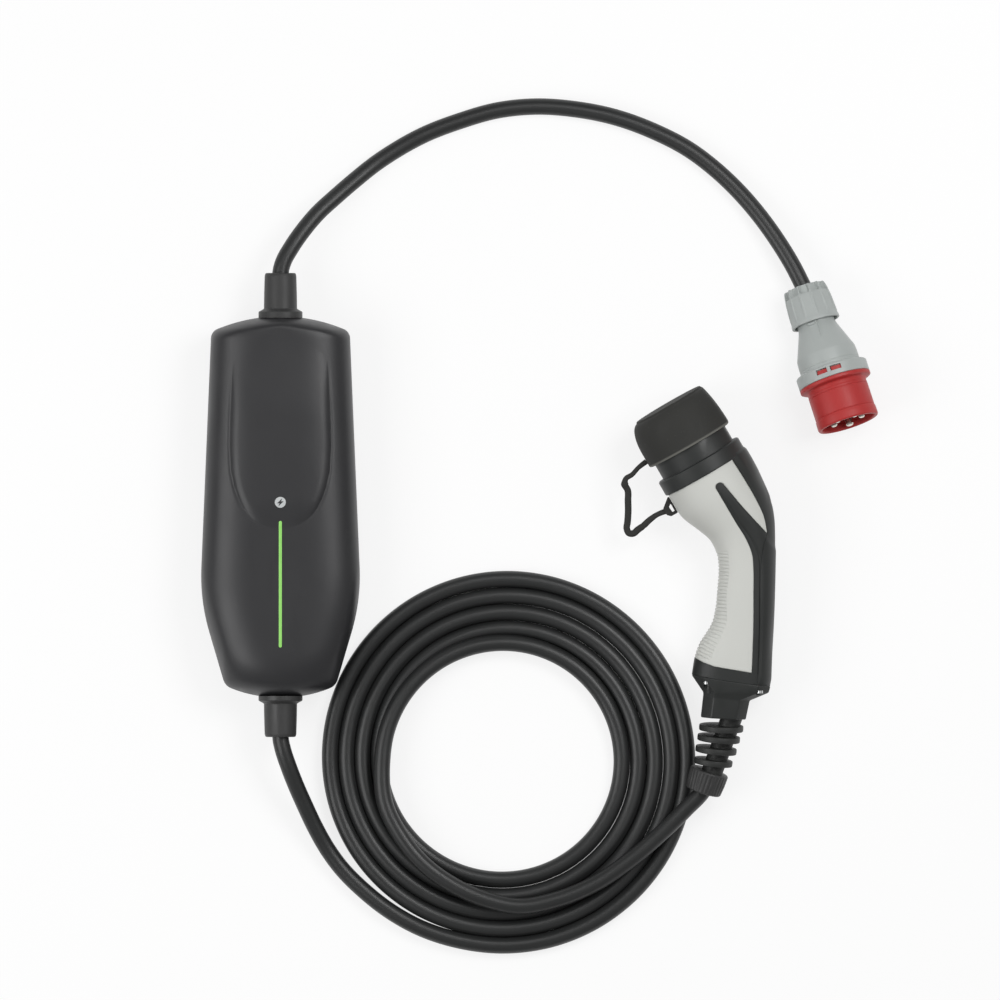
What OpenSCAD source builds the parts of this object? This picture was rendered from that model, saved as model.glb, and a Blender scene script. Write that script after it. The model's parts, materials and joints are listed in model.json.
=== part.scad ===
// Portable EV charger: a control box with two leads, a five-pin industrial plug
// and a vehicle connector with a pull-off cap. It lies on a floor at z = 0.
// The origin is under the middle of the box, +Y runs to its supply end.

/* [Control box] */
// Length between the crowns of the two ends
case_len = 283; // [265:1:300]
// Width between the upper corners
case_top_w = 104; // [98:1:112]
// Width at the waist, where the sides turn inwards
case_waist_w = 121; // [114:1:130]
// Width between the lower corners
case_foot_w = 83; // [76:1:90]
// Distance of the waist below the middle
waist_drop = 73; // [62:1:84]
// Thickness of the closed box
case_t = 58; // [54:1:66]
// Wall of both shells
wall = 3; // [2.4:0.1:3.4]
// Seal between the shells
gasket_t = 1; // [0.8:0.1:1.6]
// Inset of the flat middle of the upper face
crown_inset = 46; // [40:1:50]
// Inset of the flat rear face
foot_inset = 10; // [8:1:12]
// Height of the raised tongue over the upper face
tongue_rise = 1.6; // [1:0.1:2.2]
// Half width of the raised tongue
tongue_w = 37.8; // [34:0.2:40]

/* [Indicators] */
// Length of the light bar
bar_len = 95; // [80:1:100]
// Width of the light bar
bar_w = 2.9; // [2.4:0.1:4]
// Distance of the light bar's upper end below the middle
bar_drop = 11.8; // [10:0.1:16]
// Diameter of the round indicator
lens_d = 8.6; // [7:0.1:10]
// Distance of the round indicator above the middle
lens_y = 2; // [1:0.5:8]

/* [Strain reliefs] */
// Length of each relief past the end of the box
relief_len = 32.5; // [28:0.5:40]
// Diameter of the flange
flange_d = 33; // [30:0.5:36]
// Thickness of the flange
flange_t = 6; // [4:0.5:8]
// Sleeve diameter at the flange
sleeve_d = 24.8; // [22:0.2:27]
// Sleeve diameter at the cable
sleeve_tip_d = 23.3; // [20:0.1:24]
// Diameter of the neck in the case wall
neck_d = 20; // [17:0.5:22]

/* [Cables] */
// Diameter of both cables
cable_d = 12.4; // [11:0.1:12.4]
// Outer radius of the coil
coil_r = 139; // [134:1:140]
// Radius of the coil's hole
coil_hole_r = 82.5; // [76:0.5:90]

/* [Plug] */
// Length from the gland nut to the rim
plug_len = 107; // [102:0.5:112]
// Diameter of the gland nut at its front
gland_d = 37; // [35:0.5:39]
// Length of the gland nut
gland_len = 27; // [24:0.5:29]
// Diameter of the cone's wide end
plug_cone_d = 46; // [44:0.5:48]
// Diameter of the collar and the red flange
plug_collar_d = 54.8; // [53:0.2:58]
// Outer diameter of the red shroud
shroud_d = 46; // [44:0.2:47]
// Wall of the red shroud
shroud_wall = 2; // [1.6:0.1:2.4]
// Radius of the circle of pins
pin_circle_r = 11.5; // [11:0.1:12.5]
// Diameter of a line pin
line_pin_d = 5; // [4:0.1:5.4]
// Diameter of the earth pin
earth_pin_d = 6; // [5.6:0.1:7]

/* [Vehicle connector] */
// Angle between the nose and the grip
nose_angle = 30; // [26:1:34]
// Radius of the nose
nose_r = 31.5; // [30.4:0.1:32]
// Wall of the nose
nose_wall = 2.6; // [2.2:0.1:3]
// Length of the nose in front of the collar
nose_len = 37.5; // [36:0.5:38]
// Radius of the collar
collar_r = 34.3; // [34:0.1:35]
// Length of the collar
collar_len = 12.7; // [11:0.1:13]
// Bare length of nose between collar and cap
nose_band = 12.7; // [11:0.1:14]
// Wall of the rubber cap
cap_wall = 3.8; // [3:0.1:4.2]
// Depth of the cap over its rim
cap_depth = 34.7; // [34:0.1:37]
// Depth of the ribs on the finger side
rib_depth = 0.7; // [0.4:0.1:1]
// Space between two ribs
rib_pitch = 2.8; // [2.4:0.1:3.4]
// Tilt of the connector as it lies on the coil
gun_tilt = 3.2; // [2.8:0.1:3.6]

/* [Hidden] */
$fn = 48;

// Clearance of pieces that are pushed together by hand
fit_gap = 0.2;
// Clearance of seats that stay together
seat_gap = 0.1;
// Overshoot of cuts past the faces they open
over = 1;

case_half = case_len / 2;
relief_end = case_half + relief_len;
waist_half = case_waist_w / 2;
part_z = case_t / 2;
top_z = part_z + gasket_t / 2;
rear_z = part_z - gasket_t / 2;
end_slope = 20.5;
crown_r = 122;
foot_r = 101;
corner_r = 8;
waist_r = 150;
foot_corner_r = 10;
// Squareness of the rolled edges, and the rings that make them
crown_power = 2.5;
crown_steps = 7;
foot_power = 3;
foot_steps = 5;
// Drop of the crowned face at the edge of the tongue
crown_drop = 3.8;
seat_y = case_half - 1.2;
cable_r = cable_d / 2;

boss_r = 5;
screw_r = 1.5;
screw_head_r = 3.2;
screw_head_t = 2.2;
screw_sink = 0.8;
screw_len = 40;
screw_end = screw_sink + screw_head_t + screw_len;
screw_top_y = case_half - 33.5;
screw_mid_y = -30;
screw_foot_y = 21.5 - case_half;
screw_spots = [
    [39, screw_top_y], [-39, screw_top_y], [44, screw_mid_y],
    [-44, screw_mid_y], [33, screw_foot_y], [-33, screw_foot_y]
];

board_w = 64;
board_len = case_len - 57;
board_t = 1.6;
board_z = 14;
board_top = board_z + board_t;
post_r = 3.5;
post_x = board_w / 2 - 6;
post_y = board_len / 2 - 7;
post_spots = [[post_x, post_y], [-post_x, post_y], [post_x, -post_y], [-post_x, -post_y]];
relay_size = [28, 33, 24];
relay_gap = 4;
relay_y = 28;
module_size = [26, 52, 22];
module_y = -62;
capacitor_d = 14;
capacitor_h = 25;
capacitor_gap = 2;
capacitor_y = -20;
sensor_d = 34;
sensor_bore_d = 18;
sensor_h = 15;
sensor_y = -58;
terminal_w = 44;
terminal_d = 16;
terminal_h = part_z + 8 - board_top;
wire_r = 1.6;
wire_circle_r = 4.2;
relief_root = case_half - wall - 6;
wire_len = 24.5;
terminal_y = relief_root - wire_len;

bar_base_w = 7;
bar_base_t = 1.2;
led_t = 1.6;
ceiling_z = case_t - wall;

plug_pos = [393.4, 161.4];
plug_turn = 18;
plug_roll = 4;
gland_rear_d = 32.4;
plug_flange_at = 73;
plug_collar_at = 63.6;
plug_tilt = atan((plug_collar_d - gland_rear_d) / 2 / plug_collar_at);
plug_axis_z = gland_rear_d / 2 * cos(plug_tilt) + 0.3;
plug_wall = 2.2;
plug_neck_r = 14.3;
plug_thread_r = 13;
gland_ribs = 12;
shroud_at = 78.8;
pin_base_at = 82;
pin_root = 10;
line_pin_end = plug_len - 1.6;
tab_w = 8.4;
tab_h = 3.8;
tab_step = 10.9;
tab_gap = 1;
tab_rise = 1.6;
tab_at = plug_flange_at - 5.4;

gun_clear = 5;
nose_shift = 1.6;
nose_flat = nose_r - nose_shift;
nose_root = 10;
insert_front = nose_len - 1;
power_hole_r = 3.8;
signal_hole_r = 2.2;
contact_circle_r = 16;
insert_sides = 32;
socket_sides = 12;
cap_gap = 0.4;
cap_top = nose_band + cap_depth;
cap_bulge_from = 13;
cap_crown_r = 27.5;

// Rounded outlines

function unit(v) = v / norm(v);

// Arc of radius r that rounds the corner b between a and c, in n steps
function fillet(a, b, c, r, n) =
    let (u = unit(a - b), w = unit(c - b))
    let (half = acos(u * w) / 2)
    let (centre = b + unit(u + w) * r / sin(half))
    let (start = b + u * r / tan(half) - centre)
    let (from = atan2(start.y, start.x), sweep = 180 - 2 * half)
    [for (i = [0:n]) centre + r * [cos(from + sweep * i / n), sin(from + sweep * i / n)]];

// Closed outline through corners, each [point, radius, steps], counter-clockwise
function rounded(corners) =
    let (m = len(corners))
    [for (i = [0:m - 1]) each fillet(
        corners[(i + m - 1) % m][0], corners[i][0], corners[(i + 1) % m][0],
        corners[i][1], corners[i][2])];

function mirrored(p) = [-p.x, p.y];

crown_tip = [0, case_half + crown_r * (1 / cos(end_slope) - 1)];
foot_tip = [0, -case_half - foot_r * (1 / cos(end_slope) - 1)];
top_corner = [case_top_w / 2, crown_tip.y - case_top_w / 2 * tan(end_slope)];
waist_corner = [waist_half, -waist_drop];
foot_corner = [case_foot_w / 2, foot_tip.y + case_foot_w / 2 * tan(end_slope)];

case_outline = rounded([
    [crown_tip, crown_r, 8],
    [mirrored(top_corner), corner_r, 4],
    [mirrored(waist_corner), waist_r, 4],
    [mirrored(foot_corner), foot_corner_r, 4],
    [foot_tip, foot_r, 8],
    [foot_corner, foot_corner_r, 4],
    [waist_corner, waist_r, 4],
    [top_corner, corner_r, 4]
]);

// Case outline drawn in by a distance, as plan points
function case_plan(inset) =
    [for (p = case_outline) [p.x * (1 - inset / waist_half), p.y * (1 - inset / case_half)]];

function case_ring(inset, z) = [for (p = case_plan(inset)) [p.x, p.y, z]];

// Rings of a moulded half: a quarter of a superellipse from the rim to the flat middle
function case_rings(rim_z, face_z, depth, inset, power, n) =
    [for (i = [0:n])
        let (a = 90 * i / n)
        case_ring(
            inset + depth * (1 - pow(cos(a), 2 / power)),
            rim_z + (face_z - rim_z) * pow(sin(a), 2 / power))];

// Solids through rings

// Polyhedron through rings of equal count that turn counter-clockwise about the way they run
module skin(rings) {
    n = len(rings[0]);
    m = len(rings);
    sides = [for (i = [0:m - 2]) for (k = [0:n - 1])
        let (j = (k + 1) % n)
        each [
            [i * n + k, (i + 1) * n + k, (i + 1) * n + j],
            [i * n + k, (i + 1) * n + j, i * n + j]
        ]];
    first = [for (k = [0:n - 1]) k];
    last = [for (k = [n - 1:-1:0]) (m - 1) * n + k];
    polyhedron(points = [for (r = rings) each r], faces = concat(sides, [first, last]), convexity = 6);
}

// The same form from one convex piece for each pair of rings
module hull_loft(rings) {
    for (i = [0:len(rings) - 2]) {
        hull() skin([rings[i], rings[i + 1]]);
    }
}

// Ring of a cable at point p, square to direction d
function cable_ring(p, d, n = 10) =
    let (side = unit(cross(d, [0, 0, 1])), rise = cross(side, d))
    [for (k = [0:n - 1]) p + cable_r * (cos(360 * k / n) * rise + sin(360 * k / n) * side)];

// Cable along a route, with given directions at its two ends
module cable(route, start_dir, end_dir) {
    last = len(route) - 1;
    skin([for (i = [0:last])
        cable_ring(route[i],
            i == 0 ? start_dir : i == last ? end_dir : unit(route[i + 1] - route[i - 1]))]);
}

// Control box shells

function top_rings(inset, rim_z = top_z) =
    case_rings(rim_z, case_t - inset, crown_inset, inset, crown_power, crown_steps);
function rear_rings(inset, rim_z = rear_z) =
    case_rings(rim_z, inset, foot_inset, inset, foot_power, foot_steps);

// Rear rings run downwards, so their points are turned round
function flipped(rings) = [for (r = rings) [for (k = [len(r) - 1:-1:0]) r[k]]];

// Stations of the raised tongue: [distance up the box, half width, rise]
tongue_stations = [
    [112, -4, -1.2], [98, -2.2, 0.3], [80, -1.2, 0.65], [60, -0.4, 0.9], [40, 0, 1],
    [24, -1.8, 1], [12, -5, 0.9], [2, -9, 0.7], [-6, -13.5, 0.45], [-13, -20, 0.2], [-18, -27, -0.3]
];

// Cross-section of the tongue: it follows the crown of the face and is steep at its edges
function tongue_ring(s) =
    let (half = tongue_w + s[1], rise = tongue_rise * s[2], root_z = case_t - 2 * crown_drop)
    concat(
        [for (t = [-1:0.2:1.01])
            [half * t, s[0],
             case_t - crown_drop * pow(half * t / tongue_w, 4) + rise * (1 - pow(abs(t), 6))]],
        [[half, s[0], root_z], [-half, s[0], root_z]]);

// Round holes along +Y for both reliefs
module relief_cuts() {
    for (end = [0, 180]) {
        rotate([0, 0, end]) translate([0, 0, part_z]) rotate([-90, 0, 0]) {
            translate([0, 0, case_half - 3 * wall]) cylinder(d = neck_d + 2 * fit_gap, h = 4 * wall);
            translate([0, 0, seat_y]) cylinder(d = flange_d + 2 * fit_gap, h = 4 * wall);
        }
    }
}

// Screw boss that grows out of the side wall
module boss(spot, z, h) {
    hull() {
        translate([spot.x, spot.y, z]) cylinder(r = boss_r, h = h, $fn = 16);
        translate([spot.x * 1.2, spot.y * 1.05, z]) cylinder(r = boss_r, h = h, $fn = 16);
    }
}

module bar_plan(grow) {
    translate([-bar_w / 2 - grow, -bar_drop - bar_len + bar_w / 2])
        square([bar_w + 2 * grow, bar_len - bar_w]);
    for (y = [-bar_drop - bar_w / 2, -bar_drop - bar_len + bar_w / 2]) {
        translate([0, y]) circle(d = bar_w + 2 * grow, $fn = 16);
    }
}

module box_top_shell() color([0.25, 0.25, 0.26]) {
    difference() {
        union() {
            difference() {
                union() {
                    hull_loft(top_rings(0));
                    hull_loft([for (s = tongue_stations) tongue_ring(s)]);
                }
                hull_loft(top_rings(wall, top_z - over));
            }
            intersection() {
                for (s = screw_spots) boss(s, top_z, part_z);
                hull_loft(top_rings(wall / 2));
            }
        }
        for (s = screw_spots) {
            translate([s.x, s.y, 0])
                cylinder(r = screw_r + seat_gap, h = screw_end + over, $fn = 16);
        }
        translate([0, 0, ceiling_z - wall]) linear_extrude(4 * wall) bar_plan(seat_gap);
        translate([0, lens_y, ceiling_z - wall])
            cylinder(d = lens_d + 2 * seat_gap, h = 4 * wall, $fn = 24);
        relief_cuts();
    }
}

module box_rear_shell() color([0.23, 0.23, 0.24]) {
    head_floor = screw_sink + screw_head_t;
    difference() {
        union() {
            difference() {
                hull_loft(flipped(rear_rings(0)));
                hull_loft(flipped(rear_rings(wall, rear_z + over)));
            }
            intersection() {
                for (s = screw_spots) boss(s, wall / 2, rear_z - wall / 2);
                hull_loft(flipped(rear_rings(wall / 2)));
            }
            for (s = post_spots) {
                translate([s.x, s.y, wall / 2]) cylinder(r = post_r, h = board_z - wall / 2, $fn = 16);
            }
        }
        for (s = screw_spots) {
            translate([s.x, s.y, -over])
                cylinder(r = screw_head_r + fit_gap, h = head_floor + over, $fn = 16);
            translate([s.x, s.y, -over]) cylinder(r = screw_r + fit_gap, h = case_t, $fn = 16);
        }
        relief_cuts();
    }
}

module box_gasket() color([0.08, 0.08, 0.08]) {
    gap_w = flange_d + 2 * wall;
    translate([0, 0, rear_z]) linear_extrude(gasket_t) difference() {
        polygon(case_plan(0.25 * wall));
        polygon(case_plan(0.75 * wall));
        translate([-gap_w / 2, -case_len]) square([gap_w, 2 * case_len]);
    }
}

module case_screws() color([0.7, 0.7, 0.72]) {
    for (s = screw_spots) {
        translate([s.x, s.y, screw_sink]) cylinder(r = screw_head_r, h = screw_head_t);
        translate([s.x, s.y, screw_sink]) cylinder(r = screw_r, h = screw_head_t + screw_len);
    }
}

// Indicators

bar_top = case_t + 0.2;
bar_base_low = 14 - bar_drop - bar_len;

module light_bar() color([0.45, 0.85, 0.35]) {
    translate([0, 0, ceiling_z]) linear_extrude(bar_top - ceiling_z) bar_plan(0);
    translate([-bar_base_w / 2, bar_base_low, ceiling_z - bar_base_t])
        cube([bar_base_w, -bar_drop + over - bar_base_low, bar_base_t]);
}

module charge_lens() color([0.85, 0.88, 0.88]) {
    lens_top = case_t + 0.75 * tongue_rise;
    translate([0, lens_y, ceiling_z - bar_base_t])
        cylinder(d = lens_d, h = lens_top - ceiling_z + bar_base_t);
}

module led_board() color([0.1, 0.35, 0.2]) {
    y_high = lens_y + lens_d / 2 + over;
    translate([-bar_base_w / 2 - over, bar_base_low, ceiling_z - bar_base_t - led_t])
        cube([bar_base_w + 2 * over, y_high - bar_base_low, led_t]);
}

// Electronics

module circuit_board() color([0.1, 0.3, 0.18]) {
    translate([-board_w / 2, -board_len / 2, board_z]) cube([board_w, board_len, board_t]);
}

module on_board(x, y) {
    translate([x, y, board_top]) children();
}

module power_relays() color([0.12, 0.12, 0.13]) {
    for (x = [-relay_size.x - relay_gap / 2, relay_gap / 2]) {
        on_board(x, relay_y) cube(relay_size);
    }
}

module power_supply_module() color([0.16, 0.16, 0.18]) {
    on_board(1 - board_w / 2, module_y) cube(module_size);
}

module filter_capacitors() color([0.2, 0.25, 0.45]) {
    for (x = [capacitor_d / 2, 1.5 * capacitor_d + capacitor_gap]) {
        on_board(x, capacitor_y) cylinder(d = capacitor_d, h = capacitor_h);
    }
}

module residual_current_sensor() color([0.15, 0.15, 0.15]) {
    on_board((board_w - sensor_d) / 2 - 1, sensor_y) difference() {
        cylinder(d = sensor_d, h = sensor_h);
        translate([0, 0, -over]) cylinder(d = sensor_bore_d, h = sensor_h + 2 * over);
    }
}

module terminals(y) {
    on_board(-terminal_w / 2, y - terminal_d / 2) cube([terminal_w, terminal_d, terminal_h]);
}

module input_terminals() color([0.18, 0.45, 0.3]) {
    terminals(terminal_y - terminal_d / 2);
}

module output_terminals() color([0.18, 0.45, 0.3]) {
    terminals(-terminal_y + terminal_d / 2);
}

// Conductors between a relief's root and the face of its terminal block
module wires() {
    for (k = [0:4]) {
        translate([0, terminal_y, part_z]) rotate([-90, 0, 0]) rotate([0, 0, 72 * k])
            translate([wire_circle_r, 0, 0]) cylinder(r = wire_r, h = wire_len);
    }
}

module input_wires() color([0.55, 0.35, 0.2]) {
    wires();
}

module output_wires() color([0.55, 0.35, 0.2]) {
    rotate([0, 0, 180]) wires();
}

// Strain reliefs

module relief() {
    lip_r = neck_d / 2 + 3;
    lip_end = seat_y - 2 * wall;
    translate([0, 0, part_z]) rotate([-90, 0, 0]) rotate_extrude() polygon([
        [0, relief_root], [lip_r, relief_root], [lip_r, lip_end],
        [neck_d / 2, lip_end], [neck_d / 2, seat_y],
        [flange_d / 2, seat_y], [flange_d / 2, seat_y + flange_t - 1],
        [flange_d / 2 - 1, seat_y + flange_t],
        [sleeve_d / 2, seat_y + flange_t], [sleeve_tip_d / 2, relief_end - 1],
        [sleeve_tip_d / 2 - 1, relief_end], [0, relief_end]
    ]);
}

module inlet_relief() color([0.3, 0.3, 0.31]) {
    relief();
}

module outlet_relief() color([0.3, 0.3, 0.31]) {
    rotate([0, 0, 180]) relief();
}

// Supply cable and plug

function plug_dir() = [sin(plug_turn) * cos(plug_tilt), -cos(plug_turn) * cos(plug_tilt), sin(plug_tilt)];

supply_route = [
    [2, 182, 28.7], [8, 193, 27.4], [17, 206, 24.5], [28, 219, 20.5], [41, 231, 16],
    [56, 244, 11.5], [71, 256, 8], [86, 266, 6.4], [108, 278, 6.2], [134, 288, 6.2],
    [162, 296, 6.2], [191, 299, 6.2], [221, 297, 6.2], [251, 291, 6.2], [281, 280, 6.2],
    [306, 267, 6.2], [326, 252, 6.4], [342, 237, 7], [357, 220, 8.6], [371, 201, 11], [384, 180, 14]
];

module supply_cable() color([0.12, 0.12, 0.13]) {
    plug_end = [plug_pos.x, plug_pos.y, plug_axis_z];
    cable(concat([[0, relief_end, part_z]], supply_route, [plug_end]), [0, 1, 0], plug_dir());
}

// Plug frame: +Z from the gland nut to the rim, +Y up
module on_plug() {
    translate([plug_pos.x, plug_pos.y, plug_axis_z])
        rotate([90 - plug_tilt, 0, plug_turn]) rotate([0, 0, plug_roll]) children();
}

module plug_gland_nut() color([0.66, 0.68, 0.68]) on_plug() {
    rib_w = 1.6;
    difference() {
        union() {
            rotate_extrude() polygon([
                [0, 0], [gland_rear_d / 2 - 2, 0], [gland_rear_d / 2 - 0.6, 5],
                [gland_d / 2 - 0.6, gland_len - 2], [gland_d / 2, gland_len - 2], [gland_d / 2, gland_len],
                [0, gland_len]
            ]);
            intersection() {
                for (k = [0:gland_ribs - 1]) {
                    rotate([0, 0, (k + 0.5) * 360 / gland_ribs])
                        translate([0, -rib_w / 2, 0]) cube([gland_d, rib_w, gland_len - 1]);
                }
                cylinder(d1 = gland_rear_d, d2 = gland_d, h = gland_len);
            }
        }
        translate([0, 0, 8]) cylinder(r = plug_thread_r + fit_gap, h = gland_len);
        translate([0, 0, -over]) cylinder(r = cable_r + fit_gap, h = gland_len);
    }
}

module plug_gland_seal() color([0.1, 0.1, 0.1]) on_plug() {
    translate([0, 0, 8]) difference() {
        cylinder(r = plug_thread_r, h = 8);
        translate([0, 0, -over]) cylinder(r = cable_r, h = 8 + 2 * over);
    }
}

module plug_body() color([0.66, 0.68, 0.68]) on_plug() {
    cone_end = 52.6;
    collar_r = plug_collar_d / 2;
    cone_r = plug_cone_d / 2;
    difference() {
        rotate_extrude() polygon([
            [plug_thread_r - plug_wall, 16], [plug_thread_r, 16], [plug_thread_r, gland_len + 0.5],
            [plug_neck_r, gland_len + 0.5], [plug_neck_r + 0.6, gland_len + 4], [cone_r, cone_end],
            [cone_r, plug_collar_at - 1], [collar_r - 1, plug_collar_at], [collar_r, plug_collar_at + 1],
            [collar_r, plug_flange_at], [collar_r - plug_wall, plug_flange_at],
            [collar_r - plug_wall, plug_collar_at + plug_wall],
            [cone_r - plug_wall, plug_collar_at + plug_wall - 2], [cone_r - plug_wall, cone_end],
            [plug_thread_r - plug_wall, gland_len + 4]
        ]);
        for (x = [-1, 1]) {
            translate([x * tab_step / 2, collar_r, tab_at])
                cube([tab_w, 4 * plug_wall, tab_h], center = true);
        }
    }
}

plug_in_r = plug_collar_d / 2 - plug_wall - fit_gap;
front_root = plug_collar_at + plug_wall + 0.3;
shroud_bore_r = shroud_d / 2 - shroud_wall;

module plug_front() color([0.74, 0.25, 0.23]) on_plug() {
    collar_r = plug_collar_d / 2;
    shroud_r = shroud_d / 2;
    rotate_extrude() polygon([
        [shroud_bore_r, front_root], [plug_in_r, front_root],
        [plug_in_r, plug_flange_at], [collar_r, plug_flange_at], [collar_r, shroud_at - 1.5],
        [collar_r - 1.5, shroud_at], [shroud_r, shroud_at], [shroud_r, plug_len - 0.6],
        [shroud_r - 0.6, plug_len], [shroud_bore_r, plug_len]
    ]);
}

// Two tabs that show in the windows of the collar
module latch_tabs() color([0.74, 0.25, 0.23]) on_plug() {
    difference() {
        for (x = [-1, 1]) {
            translate([x * tab_step / 2, plug_in_r, tab_at])
                cube([tab_w - tab_gap, 2 * tab_rise, tab_h - tab_gap], center = true);
        }
        translate([0, 0, front_root]) cylinder(r = plug_in_r, h = plug_len);
    }
}

module pin_carrier() color([0.7, 0.22, 0.2]) on_plug() {
    difference() {
        translate([0, 0, front_root]) cylinder(r = shroud_bore_r - seat_gap, h = pin_base_at - front_root);
        for (k = [0:4]) {
            rotate([0, 0, 72 * k - 90]) translate([pin_circle_r, 0, pin_base_at - pin_root])
                cylinder(d = (k == 0 ? earth_pin_d : line_pin_d) + 2 * seat_gap, h = 2 * pin_root);
        }
    }
}

// Round-nosed pin standing in the pin base
module pin(d, k, end) {
    rotate([0, 0, 72 * k - 90]) translate([pin_circle_r, 0, 0]) rotate_extrude() polygon([
        [0, pin_base_at - pin_root], [d / 2, pin_base_at - pin_root], [d / 2, end - d / 4],
        [d / 2 - 0.4, end - d / 10], [d / 4, end], [0, end]
    ]);
}

module line_pins() color([0.78, 0.78, 0.76]) on_plug() {
    for (k = [1:4]) pin(line_pin_d, k, line_pin_end);
}

module earth_pin() color([0.78, 0.78, 0.76]) on_plug() {
    pin(earth_pin_d, 0, plug_len);
}

// Charge cable

// The coil lies against the lower corner of the box
coil_clear = 1.2;
coil_pos = foot_corner + (coil_r + coil_clear) * unit([2.19, -1]);

lead_route = [
    [2, -184, 28.6], [6, -196, 26.6], [11, -209, 22.8], [18, -225, 17.5], [26, -242, 12],
    [35, -258, 8], [46, -273, 6.3], [62, -289, 6.2], [81, -304, 6.2], [104, -317, 6.2],
    [128, -325.5, 6.2], [154, -330, 6.2]
];

module charge_cable_lead() color([0.12, 0.12, 0.13]) {
    cable(concat([[0, -relief_end, part_z]], lead_route), [0, -1, 0], [1, 0, 0]);
}

module charge_cable_coil() color([0.12, 0.12, 0.13]) {
    translate([coil_pos.x, coil_pos.y, cable_r]) rotate_extrude($fn = 96) {
        translate([coil_hole_r + cable_r, -cable_r]) square([coil_r - coil_hole_r - cable_d, cable_d]);
        translate([coil_hole_r + cable_r, 0]) circle(r = cable_r);
        translate([coil_r - cable_r, 0]) circle(r = cable_r);
    }
}

tail_route = [
    [87, -158, 9], [80, -180, 14], [77, -202, 18.4], [79, -226, 18.9], [90, -248, 18.9],
    [106, -268, 18.9], [129, -285, 18.9], [154, -296, 18.9], [180, -301, 18.9], [207, -296, 18.9],
    [236, -284, 18.9], [264, -265, 18.9], [288, -244, 19.2], [304, -228, 20.4]
];

module charge_cable_tail() color([0.12, 0.12, 0.13]) {
    cable(concat(tail_route, [gun_point(nut_end)]), [0, -1, 0.15], gun_way(-nut_dir));
}

// Vehicle connector. Its frame lies in the mid plane of the grip: x and y as seen from above,
// with the origin at the front of the collar.

gun_pos = [coil_pos.x + coil_r + gun_clear, 34, 35.6];

module on_gun() {
    translate(gun_pos) rotate([gun_tilt, 0, 0]) children();
}

// Direction and point of the connector's frame, as they lie on the floor
function gun_way(p) =
    [p.x, p.y * cos(gun_tilt) - p.z * sin(gun_tilt), p.y * sin(gun_tilt) + p.z * cos(gun_tilt)];
function gun_point(p) = gun_pos + gun_way(p);

// Nose frame: +Z out of the nose, +X to the spine
module on_nose() {
    on_gun() rotate([0, 0, nose_angle]) rotate([-90, 0, 0]) children();
}

// Plan point of the connector from its place across and along the nose
function nose_plan(u, v) =
    [u * cos(nose_angle) - v * sin(nose_angle), u * sin(nose_angle) + v * cos(nose_angle)];

// Grip stations: [finger side x, y, spine x, y, half thickness, squareness]
grip_stations = [
    [-24.2, -23.2, 33.1, 9.9, 32.6, 2], [-13, -42, 44.3, -8.8, 31, 2],
    [0.5, -53, 54, -29, 27, 2.1], [9, -60.5, 57.2, -42, 24.3, 2.2],
    [14, -71, 58, -57, 22.2, 2.3], [15.3, -83, 57.8, -73, 21, 2.4],
    [14.2, -98, 57.4, -92, 20.4, 2.5], [12.8, -112, 56.9, -110, 20.2, 2.5],
    [9.5, -124, 56.2, -126, 20.3, 2.5], [1.2, -137.5, 55.2, -144, 20.6, 2.5],
    [-2.5, -148, 54.7, -157, 20.8, 2.5], [-4.7, -161, 54.3, -169.7, 20.5, 2.5]
];

// Point on the smooth curve through rows, at t counted in rows
function smooth(rows, t) =
    let (last = len(rows) - 1, i = min(floor(t), last - 1), f = t - i)
    let (a = rows[max(i - 1, 0)], b = rows[i], c = rows[i + 1], d = rows[min(i + 2, last)])
    b + f * ((c - a) + f * ((2 * a - 5 * b + 4 * c - d) + f * (3 * b - a - 3 * c + d))) / 2;

function bend(x, power) = sign(x) * pow(abs(x), 2 / power);

// Superellipse across the grip at a station, drawn in by inset
function grip_ring(s, inset, n = 24) =
    let (finger = [s[0], s[1]], spine = [s[2], s[3]])
    let (middle = (finger + spine) / 2, across = unit(spine - finger))
    let (half = norm(spine - finger) / 2 - inset, thick = s[4] - inset)
    [for (k = [0:n - 1])
        let (a = 360 * k / n)
        let (p = middle + half * bend(cos(a), s[5]) * across)
        [p.x, p.y, thick * bend(sin(a), s[5])]];

module grip_form(inset = 0) {
    last = len(grip_stations) - 1;
    hull_loft([for (t = [0:0.5:last]) grip_ring(smooth(grip_stations, t), inset)]);
}

blade_tip_r = 3.3;
blade_left = 1.5;
spine_inner = 23;

// Plan of the grey panels: the whole finger side, with a tongue between blade and spine
module panel_plan() {
    difference() {
        polygon(concat(
            [nose_plan(-60, -collar_len), nose_plan(spine_inner, -collar_len),
             nose_plan(spine_inner + 0.8, -40), nose_plan(spine_inner, -58), nose_plan(18, -73)],
            [[41.5, -72], [41.5, -126], [40.4, -159], [12.4, -154.2], [-2.4, -148.4], [-40, -133]]
        ));
        polygon(concat(
            [nose_plan(18, -73), nose_plan(2 * blade_tip_r + blade_left, -27)],
            [for (a = [0:30:180])
                nose_plan(blade_left + blade_tip_r * (1 + cos(a)), -25.8 + blade_tip_r * sin(a))],
            [nose_plan(blade_left, -75), [41.5, -72.5], [60, -80]]
        ));
    }
}

module nose_plan_shape(grow) {
    intersection() {
        translate([nose_shift, 0]) circle(r = nose_r + grow, $fn = 64);
        translate([-2 * nose_r, -2 * nose_r]) square([2 * nose_r + nose_flat + grow, 4 * nose_r]);
    }
}

module nose_cut() {
    on_nose() translate([0, 0, -nose_root]) linear_extrude(nose_root + nose_len) nose_plan_shape(seat_gap);
}

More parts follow.
